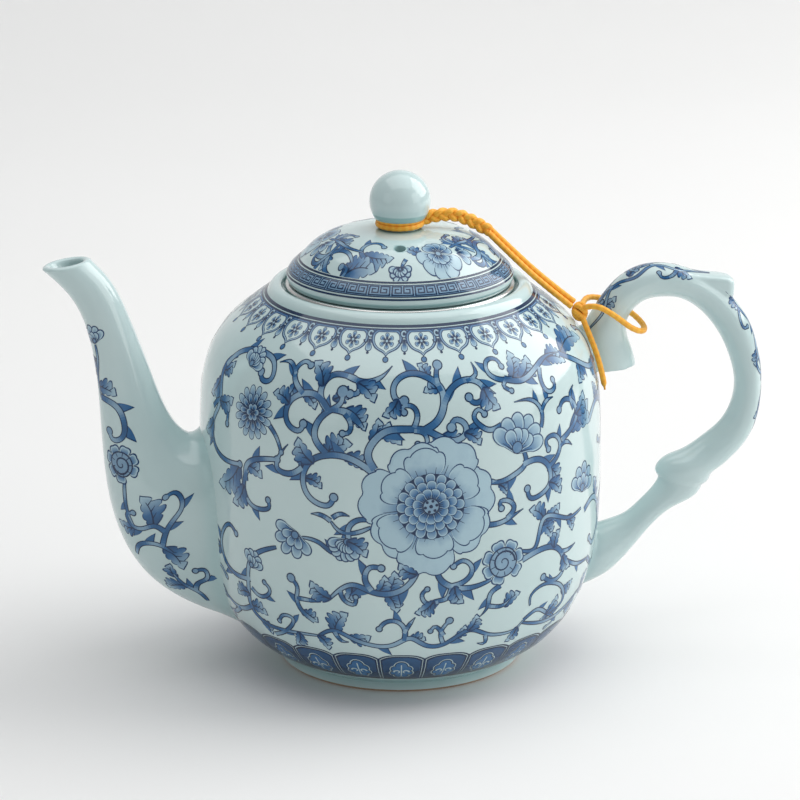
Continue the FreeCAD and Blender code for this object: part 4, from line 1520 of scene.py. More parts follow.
# ------------------------------------------------------------------ lid
@dataclass
class LidShape:
    """Sizes of the domed lid, in millimetres."""

    foot_z: float = 122.5
    wide_z: float = 125.3
    wide_r: float = 35.3
    band_r: float = 31.6
    band_z: float = 129.6
    top_z: float = 139.2
    wall: float = 3.8
    flange_r: float = 30.5
    flange_wall: float = 2.5
    flange_depth: float = 8.0
    neck_r: float = 5.8
    ball_r: float = 9.5
    ball_z: float = 147.8

    def dome_z(self, r: Any, drop: float = 0.0) -> Any:
        """Height of the dome at a radius."""
        return self.top_z - drop - (self.top_z - self.band_z) * (np.asarray(r) / self.band_r) ** 4

    def crown(self) -> Curve:
        """The upper skin from the widest edge to the flat of the crown."""
        knots = [(self.wide_r, self.wide_z), (self.wide_r - 1.1, self.wide_z + 1.9), (self.band_r, self.band_z)]
        knots += [(r, float(self.dome_z(r))) for r in (28.4, 25.0, 21.0, 16.0, 11.0)]
        return Curve(knots + [(6.5, self.top_z)])

    def profile(self) -> list[Point]:
        """The lid's section with its flange, once round."""
        edge = Curve([(self.wide_r - 0.8, self.foot_z), (self.wide_r - 0.2, self.foot_z + 1.0),
                      (self.wide_r, self.wide_z)]).even(0.4)
        under = [(r, float(self.dome_z(r, self.wall))) for r in (0.0, 9.0, 15.0, 20.0, 24.0)]
        under += [(self.flange_r - self.flange_wall, self.foot_z + 2.5)]
        low = self.foot_z - self.flange_depth
        path = edge.tolist() + self.crown().even(0.4)[1:].tolist() + [(0.0, self.top_z)]
        path += Curve(under).even(1.5).tolist()
        path += [(self.flange_r - self.flange_wall, low + 0.6), (self.flange_r - self.flange_wall + 0.6, low)]
        path += [(self.flange_r - 0.6, low), (self.flange_r, low + 0.6), (self.flange_r, self.foot_z)]
        path += [(self.wide_r - 0.8, self.foot_z)]
        return [(float(r), float(z)) for r, z in path]

    def band_wrap(self, proud: float = 0.04) -> Wrap:
        """Carries (round at the widest edge, up the skin) onto the lid."""
        return turned_wrap(self.crown(), self.wide_r, proud)

    def dome_wrap(self, proud: float = 0.04) -> Wrap:
        """Carries a plan drawing onto the dome from above."""

        def carry(uv: np.ndarray) -> tuple[np.ndarray, np.ndarray]:
            """Points and normals in metres."""
            r = np.maximum(np.hypot(uv[:, 0], uv[:, 1]), 1e-6)
            line = self.crown().even(0.3)[::-1]
            z = np.interp(r, line[:, 0], line[:, 1])
            slope = np.interp(r - 0.1, line[:, 0], line[:, 1]) - np.interp(r + 0.1, line[:, 0], line[:, 1])
            slope *= 5.0
            out = np.stack([slope * uv[:, 0] / r, slope * uv[:, 1] / r, np.ones(len(r))], 1)
            out /= np.linalg.norm(out, axis=1)[:, None]
            return (np.stack([uv[:, 0], uv[:, 1], z], 1) + out * proud) * MM, out

        return carry


@dataclass
class Lid:
    """The lid and its ball knob."""

    shape: LidShape
    glaze: bpy.types.Material
    vent_r: float = 20.0
    vent_deg: float = -98.0
    vent_d: float = 3.6

    def dome(self) -> bpy.types.Object:
        """The dome with its flange and steam vent."""
        made = turned_mesh("lid_dome", self.shape.profile(), 176)
        a = math.radians(self.vent_deg)
        at = (self.vent_r * math.cos(a), self.vent_r * math.sin(a), float(self.shape.dome_z(self.vent_r)) - 2)
        cut_out(made, rod(at, (0, 0, 1), self.vent_d / 2, 16))
        made.data.materials.clear()
        made.data.materials.append(self.glaze)
        pooled_with_shade(made, self._pooled_glaze_and_shade)
        smooth(made, 35)
        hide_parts("lid", "lid_flange")
        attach(made, "lid")
        return made

    def _pooled_glaze_and_shade(self, p: np.ndarray) -> np.ndarray:
        """Glaze pooled under the edge, in the vent and round the knob's neck, darkened there as painted shade.
        """
        r = np.hypot(p[:, 0], p[:, 1])
        neck = np.exp(-((r - 6.2) / 1.6) ** 2) * (p[:, 2] > 138)
        low = (p[:, 2] < 124.0) * 0.6
        a = math.radians(self.vent_deg)
        vent = np.hypot(p[:, 0] - self.vent_r * math.cos(a), p[:, 1] - self.vent_r * math.sin(a))
        return neck * 0.6 + low + (vent < self.vent_d * 0.6) * 0.5

    def knob(self) -> bpy.types.Object:
        """The ball on its short neck."""
        s = self.shape
        top = s.ball_z + s.ball_r
        a = np.linspace(math.pi / 2, -0.62, 44)
        ball = [(float(s.ball_r * math.cos(t)), float(s.ball_z + s.ball_r * math.sin(t))) for t in a]
        ball[0] = (0.0, top)
        under = ball[-1]
        neck = [(s.neck_r + 0.7, under[1] - 0.5), (s.neck_r, under[1] - 1.2), (s.neck_r, s.top_z + 0.5),
                (s.neck_r, s.top_z), (0.0, s.top_z)]
        made = turned_mesh("knob_ball", ball + neck, 88)
        made.data.materials.append(self.glaze)
        # Painted shade: deep teal glaze on the ball's underside and on its neck.
        pooled_with_shade(made, lambda p: (p[:, 2] < 144) * 0.7)
        smooth(made, 40)
        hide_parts("lid_knob")
        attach(made, "lid")
        return made


# ------------------------------------------------------------------ painting of the pot
@dataclass
class PotPainting:
    """Everything painted on the pot, its spout and its handle."""

    shape: PotShape
    paints: dict[int, bpy.types.Material]
    panels: int = 24
    lappets: int = 28

    def side(self) -> Sheet:
        """The scroll with its flowers, for one side of the pot."""
        sheet = Sheet()
        paint_leaves(sheet, SCROLL_LEAVES)
        paint_stems(sheet, SCROLL_STEMS)
        paint_peony(sheet, (0.5, 73.0), 20.6, 12.0)
        paint_daisy(sheet, (-59.5, 96.5), 8.2, 15, 8.0)
        paint_lotus(sheet, (28.5, 87.0), 12.0, 72.0, 6, 62.0)
        paint_bud(sheet, (24.0, 52.5), 7.0, 110.0)
        paint_lotus(sheet, (-41.5, 62.0), 8.5, 235.0, 5, 70.0)
        paint_lotus(sheet, (-24.6, 62.0), 7.2, 245.0, 7, 50.0)
        paint_lotus(sheet, (-60.5, 47.0), 6.2, 60.0, 5, 46.0)
        paint_lotus(sheet, (-66.5, 110.0), 6.8, 70.0, 7, 66.0)
        paint_lotus(sheet, (60.0, 67.0), 9.0, 78.0, 5, 66.0)
        self._side_gap(sheet)
        return sheet

    def _side_gap(self, sheet: Sheet) -> None:
        """Lighter scroll work by the handle, past the front's own flowers."""
        stems = [
            Stem(End.HOOK, 1.8, [(62, 60), (69, 62), (76, 58), (78, 51), (73, 46), (68, 49)]),
            Stem(End.TIP, 1.6, [(76, 57), (82, 60), (87, 66)]),
            Stem(End.HOOK, 1.8, [(66, 88), (74, 92), (82, 90), (86, 83), (82, 77), (76, 79)]),
            Stem(End.HOOK, 1.8, [(57, 112), (66, 107), (75, 103), (84, 105), (87, 112), (82, 115)]),
            Stem(End.HOOK, 1.6, [(69, 42), (76, 38), (84, 36), (89, 30), (84, 25), (79, 28)]),
            Stem(End.TAIL, 1.6, [(35, 29), (48, 26), (60, 28), (70, 31), (80, 28), (92, 26)]),
            Stem(End.HOOK, 1.6, [(-64, 32), (-72, 29), (-80, 31), (-84, 37), (-80, 42), (-76, 39)]),
            Stem(End.TIP, 1.6, [(-72, 29), (-80, 25), (-90, 25)]),
        ]
        leaves = [
            Leaf(4, 1, (-36, 85), (-41, 92)), Leaf(4, -1, (-34.5, 109), (-40, 116)),
            Leaf(4, 1, (-22.5, 110.5), (-17, 105)), Leaf(4, -1, (-45.5, 102), (-52, 104)),
            Leaf(4, 1, (11.5, 95), (16, 91)), Leaf(4, -1, (19, 107.5), (23.5, 101)),
            Leaf(4, 1, (-9.5, 105.5), (-14, 101)), Leaf(4, 1, (42, 74.5), (47, 70)),
            Leaf(4, -1, (57, 92.5), (63, 98)), Leaf(4, 1, (-81.5, 88.5), (-88, 84)),
            Leaf(4, -1, (-77.5, 96), (-70, 98.5)), Leaf(4, 1, (-62.5, 72.5), (-68, 66)),
            Leaf(5, -1, (-63.5, 37), (-70, 35)), Leaf(4, 1, (-24.5, 61.5), (-19, 57)),
            Leaf(5, 1, (-31, 42), (-37, 47)), Leaf(4, 1, (-4, 51.5), (-9, 55)),
            Leaf(4, -1, (8, 46.5), (11, 41)), Leaf(5, 1, (1.5, 42), (-4, 38.5)),
            Leaf(4, -1, (49.5, 48.5), (54, 44)), Leaf(4, 1, (44.5, 53), (47, 58)),
            Leaf(4, 1, (-36.5, 27.5), (-34, 22)), Leaf(5, -1, (14, 30.5), (16, 36)),
            Leaf(4, 1, (33, 27.5), (30, 22.5)), Leaf(4, -1, (46.5, 29.5), (50, 35)),
            Leaf(5, 1, (-44, 27), (-47, 21.5)), Leaf(4, 1, (70, 31), (73, 36.5)),
            Leaf(5, -1, (74, 92), (73, 98)), Leaf(4, 1, (66, 107), (62, 101)),
            Leaf(4, -1, (72, 62), (70, 68)), Leaf(4, 1, (76, 57), (84, 50)),
            Leaf(5, -1, (82, 90), (91, 96)), Leaf(5, 1, (75, 103), (82, 96)),
            Leaf(4, -1, (84, 36), (92, 40)), Leaf(4, 1, (60, 28), (66, 22.5)),
            Leaf(4, -1, (-80, 31), (-90, 33)),
        ]
        paint_leaves(sheet, leaves)
        paint_stems(sheet, stems)

    def base_band(self, sheet: Sheet, period: float) -> None:
        """Upright petal panels round the foot of the wall."""
        pitch = period / self.panels
        sheet.hoop(4.6, 6.0, period)
        panel = Sheet()
        half = pitch / 2
        t = np.linspace(-1, 1, 21)
        # The panel ground is dark cobalt, graded darker towards the foot; part of its darkness is painted shade
        # under the belly.
        for inset, ink, tone, far in ((0.0, Ink.LINE, 0.9, None), (0.45, Ink.BARE, 0.0, None),
                                      (0.72, Ink.LINE, 0.9, None), (1.3, Ink.WASH, 1.0, 0.72)):
            top = 21.6 - inset - 1.9 * np.abs(t) ** 3.2
            x = t * (half - inset)
            outline = np.concatenate([[[half - inset, 5.4], [-half + inset, 5.4]],
                                      np.stack([x, top], 1)])
            panel.area(outline, ink, tone, far, (0.0, 5.0), (0.0, 21.0))
        lobes = [(0.0, 15.6, 2.6), (-2.3, 13.9, 1.9), (2.3, 13.9, 1.9), (-2.9, 11.2, 1.7), (2.9, 11.2, 1.7),
                 (-1.3, 9.0, 1.7), (1.3, 9.0, 1.7)]
        for grow, ink, tone in ((0.35, Ink.BARE, 0.0), (0.0, Ink.LINE, 0.9), (-0.4, Ink.WASH, 0.5)):
            for x, y, r in lobes:
                panel.disc((x, y), r + grow, ink, tone, 16)
        panel.area(np.array([[-2.2, 9.4], [2.2, 9.4], [2.6, 13.4], [0.0, 15.4], [-2.6, 13.4]]), Ink.WASH, 0.5)
        for side in (-1, 1):
            a = np.linspace(0, 4.4, 16)
            r = 1.5 * (1 - a / 6.5)
            curl = np.stack([side * (1.55 + r * np.cos(a)), 11.8 + r * np.sin(a)], 1)
            panel.strip(curl, np.linspace(0.36, 0.2, 16), Ink.BARE)
        panel.strip(np.array([[0.0, 8.6], [0.0, 16.4]]), 0.22, Ink.BARE)
        for k in range(self.panels):
            sheet.laid(panel, ((k - self.panels / 2 + 0.5) * pitch, 0.0))

    def shoulder_border(self, sheet: Sheet, period: float) -> None:
        """Hanging heart lappets with stars, drops and rosettes."""
        pitch = period / self.lappets
        top = 131.5
        sheet.hoop(top - 1.1, top, period)
        sheet.hoop(top - 3.4, top - 1.5, period, Ink.WASH, 0.55)
        sheet.hoop(top - 1.95, top - 1.45, period)
        unit = Sheet()
        half = pitch / 2

        def heart(scale: float) -> np.ndarray:
            """A hanging heart with a bud-like point, shrunk about its middle."""
            right = [(0.0, -11.4), (0.9, -10.4), (2.2, -9.7), (3.9, -8.8), (5.3, -7.2), (6.0, -5.2),
                     (5.7, -3.3), (4.4, -2.2)]
            line = Curve(right).even(0.5)
            left = line[::-1] * np.array([-1, 1])
            shape = np.concatenate([line, left[:-1]])
            middle = np.array([0.0, -6.2])
            return middle + (shape - middle) * scale + np.array([0.0, top])

        unit.area(heart(1.10), Ink.LINE)
        unit.area(heart(1.00), Ink.WASH, 0.42, 0.1, (0.0, top - 2), (0.0, top - 11))
        unit.area(heart(0.91), Ink.LINE)
        unit.area(heart(0.85), Ink.BARE)
        for k in range(6):
            paint_petal(unit, (0.0, top - 6.1), 60 * k + 30, 0.5, 1.5, 2.4, 1, 0.8, 0.3, 0.24, 0.18)
        unit.ball((0.0, top - 6.1), 0.75, 0.25, 0.1)
        unit.ball((0.0, top - 12.9), 1.15, 0.34, 0.45)
        unit.ball((half, top - 3.4), 1.7, 0.4, 0.1)
        unit.disc((half, top - 3.4), 0.7, Ink.LINE, 0.9, 10)
        for side in (-1, 1):
            arc = np.linspace(0.1, np.pi - 0.1, 12)
            loop = np.stack([half + side * 1.5 + 0.9 * np.cos(arc), top - 5.6 - 1.3 * np.sin(arc)], 1)
            unit.strip(loop, 0.24, Ink.LINE)
        paint_petal(unit, (half, top - 5.4), 270.0, 0.0, 2.3, 4.4, 1, 0.9, 0.1, 0.3, 0.25)
        unit.disc((half, top - 10.6), 0.55, Ink.LINE, 0.9, 8)
        for k in range(self.lappets):
            sheet.laid(unit, ((k - self.lappets / 2) * pitch, 0.0))

    def round_the_pot(self) -> list[bpy.types.Object]:
        """The whole wall's painting, its scroll repeated on both sides."""
        period = TAU * self.shape.belly_r
        side = self.side()
        made = []
        for name, shift in (("front", 0.0), ("back", period / 2)):
            scroll = Sheet()
            scroll.laid(side, (shift, 0.0))
            made += lay_painting(scroll, self.shape.wrap(), f"scroll_{name}", 2.2, (shift - 99, 20.0),
                                 (shift + 99, 121.0), self.paints, "pot")
        for name, draw, span in (("base_band", self.base_band, (4.0, 22.5)),
                                 ("shoulder_border", self.shoulder_border, (116.5, 131.55))):
            sheet = Sheet()
            draw(sheet, period)
            made += lay_painting(sheet, self.shape.wrap(), name, 1.8, (-period / 2 - 8, span[0]),
                                 (period / 2 + 8, span[1]), self.paints, "pot")
        return made

    def limb_wrap(self, limb: Limb, skin: bpy.types.Object, back: bool, proud: float = 0.06) -> Wrap:
        """Carries (across, along) points onto a limb's skin.

        Args:
            limb: the spout or the grip.
            skin: its finished piece.
            back: whether the far side is painted.
            proud: how far the paint stands off, in millimetres.

        Returns:
            A function giving points and normals.
        """
        tree = BVHTree.FromObject(skin, bpy.context.evaluated_depsgraph_get())
        line = Curve([s for s in limb.stations])

        def carry(uv: np.ndarray) -> tuple[np.ndarray, np.ndarray]:
            """Points and normals in metres."""
            at = line.at(np.clip(uv[:, 1] * math.sqrt(2), 0, line.length))
            size = np.hypot(at[:, 0] - at[:, 2], at[:, 1] - at[:, 3]) / 2
            turn = uv[:, 0] / ((size + at[:, 4]) / 2) - math.pi / 2
            near = limb.skin(at, turn[:, None])[:, 0] * MM
            if back:
                near[:, 1] *= -1
            hits = [tree.find_nearest(Vector(p)) for p in near.tolist()]
            normal = np.array([h[1][:] for h in hits])
            return np.array([h[0][:] for h in hits]) + normal * proud * MM, normal

        return carry

    def spout_side(self) -> Sheet:
        """The climbing stem on one side of the spout."""
        sheet = Sheet()
        leaves = [
            Leaf(4, 1, (10.6, 40), (3.6, 43.6)), Leaf(4, -1, (8.6, 31), (13.0, 36)),
            Leaf(4, -1, (9.8, 86.5), (7.0, 76)), Leaf(4, 1, (12.8, 94), (15.2, 102.4)),
            Leaf(5, -1, (20.8, 106), (27.5, 103.4)), Leaf(4, 1, (15.4, 83.6), (21, 80)),
            Leaf(3, 1, (19.6, 102.4), (16.4, 98.6)),
        ]
        stems = [
            Stem(End.TAIL, 1.3, [(6.6, 26), (7.6, 31), (10.2, 38), (10.2, 44)]),
            Stem(End.HOOK, 1.9, [(10, 43.5), (4.8, 46.6), (3.1, 52.4), (5.5, 57.3), (8.7, 57), (9.2, 54.6)]),
            Stem(End.TAIL, 1.3, [(9.2, 69.5), (12, 74), (14.6, 79), (15.8, 84)]),
            Stem(End.TAIL, 1.6, [(24, 90.6), (18.4, 88.6), (13.6, 91.6), (12.4, 97)]),
            Stem(End.HOOK, 1.6, [(12.6, 93), (8, 90.4), (4, 89.4), (0.6, 88.6), (-1.6, 85.6), (-1.2, 82),
                 (1.2, 81.4)]),
            Stem(End.HOOK, 1.5, [(8.7, 90.2), (9.7, 86.6), (13.4, 85), (16.2, 82), (15.2, 79), (12.6, 79.4)]),
            Stem(End.TAIL, 1.5, [(23.4, 113.6), (21, 110), (20.8, 106), (19, 101.4)]),
            Stem(End.HOOK, 1.4, [(20.6, 109), (17, 108.4), (14.2, 109.4), (12.2, 107.4), (13.8, 105.4)]),
        ]
        paint_leaves(sheet, leaves, 0.36)
        paint_stems(sheet, stems, 0.36)
        paint_lotus(sheet, (6.4, 25.4), 5.6, 275.0, 5, 60.0)
        paint_bud(sheet, (8.2, 64.8), 5.6, 280.0)
        return sheet

    def grip_side(self) -> Sheet:
        """The scroll along the outer ridge of the grip."""
        sheet = Sheet()
        leaves = [
            Leaf(4, 1, (6.0, 20), (3.8, 24.6)), Leaf(4, -1, (6.4, 31), (8.8, 35)),
            Leaf(4, 1, (6.6, 44), (3.8, 48.4)), Leaf(4, 1, (7.0, 62), (4.8, 66.4)),
            Leaf(4, 1, (5.0, 80), (2.4, 84)), Leaf(4, -1, (5.6, 96), (3.2, 100)),
        ]
        stems = [
            Stem(End.TAIL, 1.1, [(6.5, 14), (4.6, 20), (7.4, 26), (4.8, 32), (7.6, 38), (5.6, 44), (7.6, 50),
                                 (8.6, 55)]),
            Stem(End.HOOK, 1.1, [(7.4, 26), (9.6, 23), (8.4, 20), (7.0, 21.4)]),
            Stem(End.HOOK, 1.1, [(7.6, 38), (9.8, 35), (8.8, 32), (7.2, 33.2)]),
            Stem(End.HOOK, 1.1, [(5.6, 44), (3.0, 42), (2.6, 39), (4.2, 38.6)]),
            Stem(End.TAIL, 1.1, [(7.6, 60), (5.6, 66), (7.0, 73), (4.6, 80), (6.4, 88), (4.4, 96),
                 (6.4, 104)]),
            Stem(End.HOOK, 1.0, [(5.8, 66), (3.2, 68), (2.8, 71.4), (4.4, 72)]),
            Stem(End.HOOK, 1.0, [(6.4, 88), (3.6, 85.6), (3.2, 82.6), (4.8, 82)]),
        ]
        paint_leaves(sheet, leaves, 0.3)
        paint_stems(sheet, stems, 0.3)
        return sheet

    def limbs(self, spout: bpy.types.Object, grip: bpy.types.Object) -> list[bpy.types.Object]:
        """Both sides of the spout and of the grip."""
        made = []
        for label, limb, skin, sheet, high in (
                ("spout", Limb(SPOUT), spout, self.spout_side(), (28.0, 116.0)),
                ("grip", Limb(GRIP, GRIP_EGG), grip, self.grip_side(), (14.0, 108.0))):
            for back in (False, True):
                name = f"{label}_{'back' if back else 'front'}_scroll"
                made += lay_painting(sheet, self.limb_wrap(limb, skin, back), name, 1.5, (-6.0, 10.0), high,
                                     self.paints, "pot")
        return made


@dataclass
class LidPainting:
    """Everything painted on the lid."""

    shape: LidShape
    paints: dict[int, bpy.types.Material]
    keys: int = 60

    def band(self, sheet: Sheet, low: float, high: float) -> None:
        """Meander keys between double lines, drawn at the widest edge."""
        period = TAU * self.shape.wide_r
        sheet.hoop(low + 0.9, high - 0.9, period, Ink.WASH, 0.3)
        for at, width in ((low, 0.7), (low + 0.95, 0.36), (high, 0.7), (high - 0.95, 0.36)):
            sheet.hoop(at - width / 2, at + width / 2, period)
        pitch = period / self.keys
        a, b = low + 1.45, high - 1.45
        tall = b - a
        unit = Sheet()
        w = 0.46
        path = [(0.0, a), (0.0, b), (0.78 * pitch, b), (0.78 * pitch, a + 0.26 * tall),
                (0.26 * pitch, a + 0.26 * tall), (0.26 * pitch, a + 0.68 * tall),
                (0.54 * pitch, a + 0.68 * tall)]
        unit.runs(path, w)
        unit.runs([(0.0, a), (pitch, a)], w * 0.8)
        for k in range(self.keys):
            mirror = k % 2 == 1
            shift = (k - self.keys / 2 + (0.78 if mirror else 0.0)) * pitch
            sheet.laid(unit, (shift, 0.0), mirror=mirror)

    def garden(self) -> Sheet:
        """A peony, leaves and a scroll on the dome, seen from above."""
        sheet = Sheet()
        for turn in (0.0, 120.0, 240.0):
            part = Sheet()
            leaves = [
                Leaf(6, -1, (-14.0, -19.6), (-5.4, -23.8)), Leaf(4, 1, (-23.4, -11.4), (-27.2, -14.8)),
                Leaf(5, 1, (-21.6, -22.6), (-11.4, -26.6)), Leaf(4, -1, (3.0, -23.4), (-1.8, -20.6)),
                Leaf(4, 1, (15.4, -14.4), (20.4, -9.8)), Leaf(4, 1, (-20.6, -4.6), (-15.4, -5.0)),
            ]
            stems = [
                Stem(End.HOOK, 1.3, [(-14.0, -20.6), (-14.4, -17.6), (-11.6, -14.8), (-8.6, -15.4),
                     (-7.4, -18.2)]),
                Stem(End.TAIL, 1.6, [(-27.0, -6.5), (-24.8, -11.4), (-21.2, -12.6), (-18.0, -16.6),
                     (-17.6, -20.6)]),
                Stem(End.HOOK, 1.4, [(-24.0, -12.6), (-25.6, -16.2), (-24.2, -20.6), (-21.0, -22.8),
                     (-19.4, -21.4),
                                     (-20.8, -19.8)]),
                Stem(End.HOOK, 1.3, [(-23.8, -10.4), (-21.0, -5.4), (-17.0, -3.6), (-14.4, -7.0)]),
                Stem(End.TIP, 1.1, [(-1.6, -24.8), (-2.8, -26.4), (-3.8, -28.0)]),
                Stem(End.HOOK, 1.2, [(17.6, -12.6), (22.0, -14.4), (23.4, -18.4), (20.6, -20.2),
                     (18.8, -18.4)]),
                Stem(End.TAIL, 1.2, [(12.8, -18.0), (16.4, -13.6), (20.6, -8.6), (22.8, -3.0)]),
            ]
            paint_leaves(part, leaves, 0.3)
            paint_stems(part, stems, 0.3)
            paint_lotus(part, (-3.8, -27.4), 3.7, 265.0, 7, 84.0)
            for lean in (30, 62, 94, 126, 158):
                paint_petal(part, (8.6, -21.6), lean, 0.4, 2.9, 4.4, 1, 0.85, 0.05, 0.26, 0.3)
            for lean in (196, 236, 276, 316, 352):
                paint_petal(part, (8.6, -22.8), lean, 0.8, 5.0, 6.2, 1, 0.6, -0.3, 0.3, 0.45)
            for lean in (212, 254, 296, 334):
                paint_petal(part, (8.6, -22.2), lean, 0.3, 2.7, 3.3, 1, 0.8, 0.0, 0.26, 0.3)
            for lean in (330, 15, 60):
                paint_petal(part, (14.4, -19.4), lean, 0.4, 2.6, 4.4, 1, 0.85, 0.0, 0.26, 0.3)
            part.ball((8.6, -22.0), 1.0, 0.24, 0.2)
            sheet.laid(part, degrees=turn)
        ring = np.linspace(0, TAU, 73)
        for a, b in zip(ring, ring[1:]):
            wedge = [(r * math.cos(t), r * math.sin(t)) for r, t in ((30.9, a), (44, a), (44, b), (30.9, b))]
            sheet.area(np.array(wedge), Ink.BARE)
        vent = math.radians(-98.0)
        sheet.disc((20.0 * math.cos(vent), 20.0 * math.sin(vent)), 2.3, Ink.BARE, 0.0, 18)
        return sheet

    def make(self) -> list[bpy.types.Object]:
        """The key band and the dome's painting."""
        crown = self.shape.crown()
        low, high = 0.25, 6.15
        band = Sheet()
        self.band(band, low, high)
        period = TAU * self.shape.wide_r
        made = lay_painting(band, self.shape.band_wrap(0.06), "key_band", 0.6, (-period / 2 - 4, -0.2),
                            (period / 2 + 4, min(7.0, crown.length)), self.paints, "lid")
        made += lay_painting(self.garden(), self.shape.dome_wrap(), "dome_scroll", 1.3, (-31.0, -31.0),
                             (31.0, 31.0), self.paints, "lid")
        return made


# ------------------------------------------------------------------ cord
BRAID_ROUTE = [(6.2, -0.6, 141.8), (12.6, -0.9, 143.6), (20.6, -1.2, 142.4), (28.2, -1.4, 137.2)]
STRAND_A_ROUTE = [(27.2, -2.3, 137.4), (33.0, -2.3, 131.4), (44.0, -3.0, 120.6), (53.7, -3.8, 112.8)]
STRAND_B_ROUTE = [(27.9, -0.7, 138.3), (34.0, -0.7, 132.2), (45.0, -1.4, 121.6), (54.8, -2.3, 113.9)]
LOOP_ROUTE = [
    (57.2, -5.2, 112.6),
    (60.2, -8.6, 114.6),
    (66.4, -9.3, 110.9),
    (72.6, -8.9, 105.8),
    (77.2, -4.8, 104.0),
    (78.0, 2.8, 104.7),
    (74.2, 8.8, 107.6),
    (67.0, 9.4, 111.4),
    (60.2, 6.8, 113.0),
    (57.0, -2.6, 111.9),
]
TAIL_ROUTE = [
    (56.9, -5.4, 109.4),
    (58.4, -8.8, 105.2),
    (60.8, -10.9, 98.6),
    (62.6, -11.6, 91.4),
    (63.2, -11.7, 87.6),
]
KNOT_CENTRE = (56.3, -4.0, 110.9)
KNOT_RADII = (2.7, 2.6, 3.3)


def cord_line(name: str, route: Sequence[Point3], shift: Point3 = (0.0, 0.0, 0.0)) -> list[Vector]:
    """The smooth line of a cord, read from a NURBS spline.

    Args:
        name: the spline's name.
        route: its control points in millimetres.
        shift: added to each of them.

    Returns:
        Points along the line in metres.
    """
    curve = bpy.data.curves.new(name, "CURVE")
    curve.dimensions = "3D"
    curve.resolution_u = 24
    spline = curve.splines.new("NURBS")
    spline.points.add(len(route) - 1)
    for point, place in zip(spline.points, route):
        point.co = (*[(c + d) * MM for c, d in zip(place, shift)], 1.0)
    spline.order_u = 3
    spline.use_endpoint_u = True
    carrier = new_object(name, curve)
    bpy.context.view_layer.update()
    read = bpy.data.meshes.new_from_object(carrier)
    line = [v.co.copy() for v in read.vertices]
    bpy.data.meshes.remove(read)
    bpy.data.objects.remove(carrier)
    bpy.data.curves.remove(curve)
    return line


def framed(line: Sequence[Vector]) -> tuple[np.ndarray, np.ndarray, np.ndarray, np.ndarray]:
    """Even points on a line with a steady pair of side directions.

    Args:
        line: the points it follows.

    Returns:
        Points, first and second side directions, and distance along.
    """
    p = np.array([v[:] for v in line], float)
    keep = np.r_[True, np.linalg.norm(np.diff(p, axis=0), axis=1) > 1e-6]
    p = p[keep]
    s = np.r_[0, np.cumsum(np.linalg.norm(np.diff(p, axis=0), axis=1))]
    even = np.linspace(0, s[-1], max(12, int(s[-1] / 0.00042)))
    q = np.stack([np.interp(even, s, p[:, k]) for k in range(3)], 1)
    along = np.gradient(q, axis=0)
    along /= np.linalg.norm(along, axis=1)[:, None]
    first = np.zeros_like(q)
    side = np.cross(along[0], [0.0, 0.0, 1.0])
    side /= np.linalg.norm(side)
    for i, t in enumerate(along):
        side = side - t * (side @ t)
        side /= np.linalg.norm(side)
        first[i] = side
    return q, first, np.cross(along, first), even


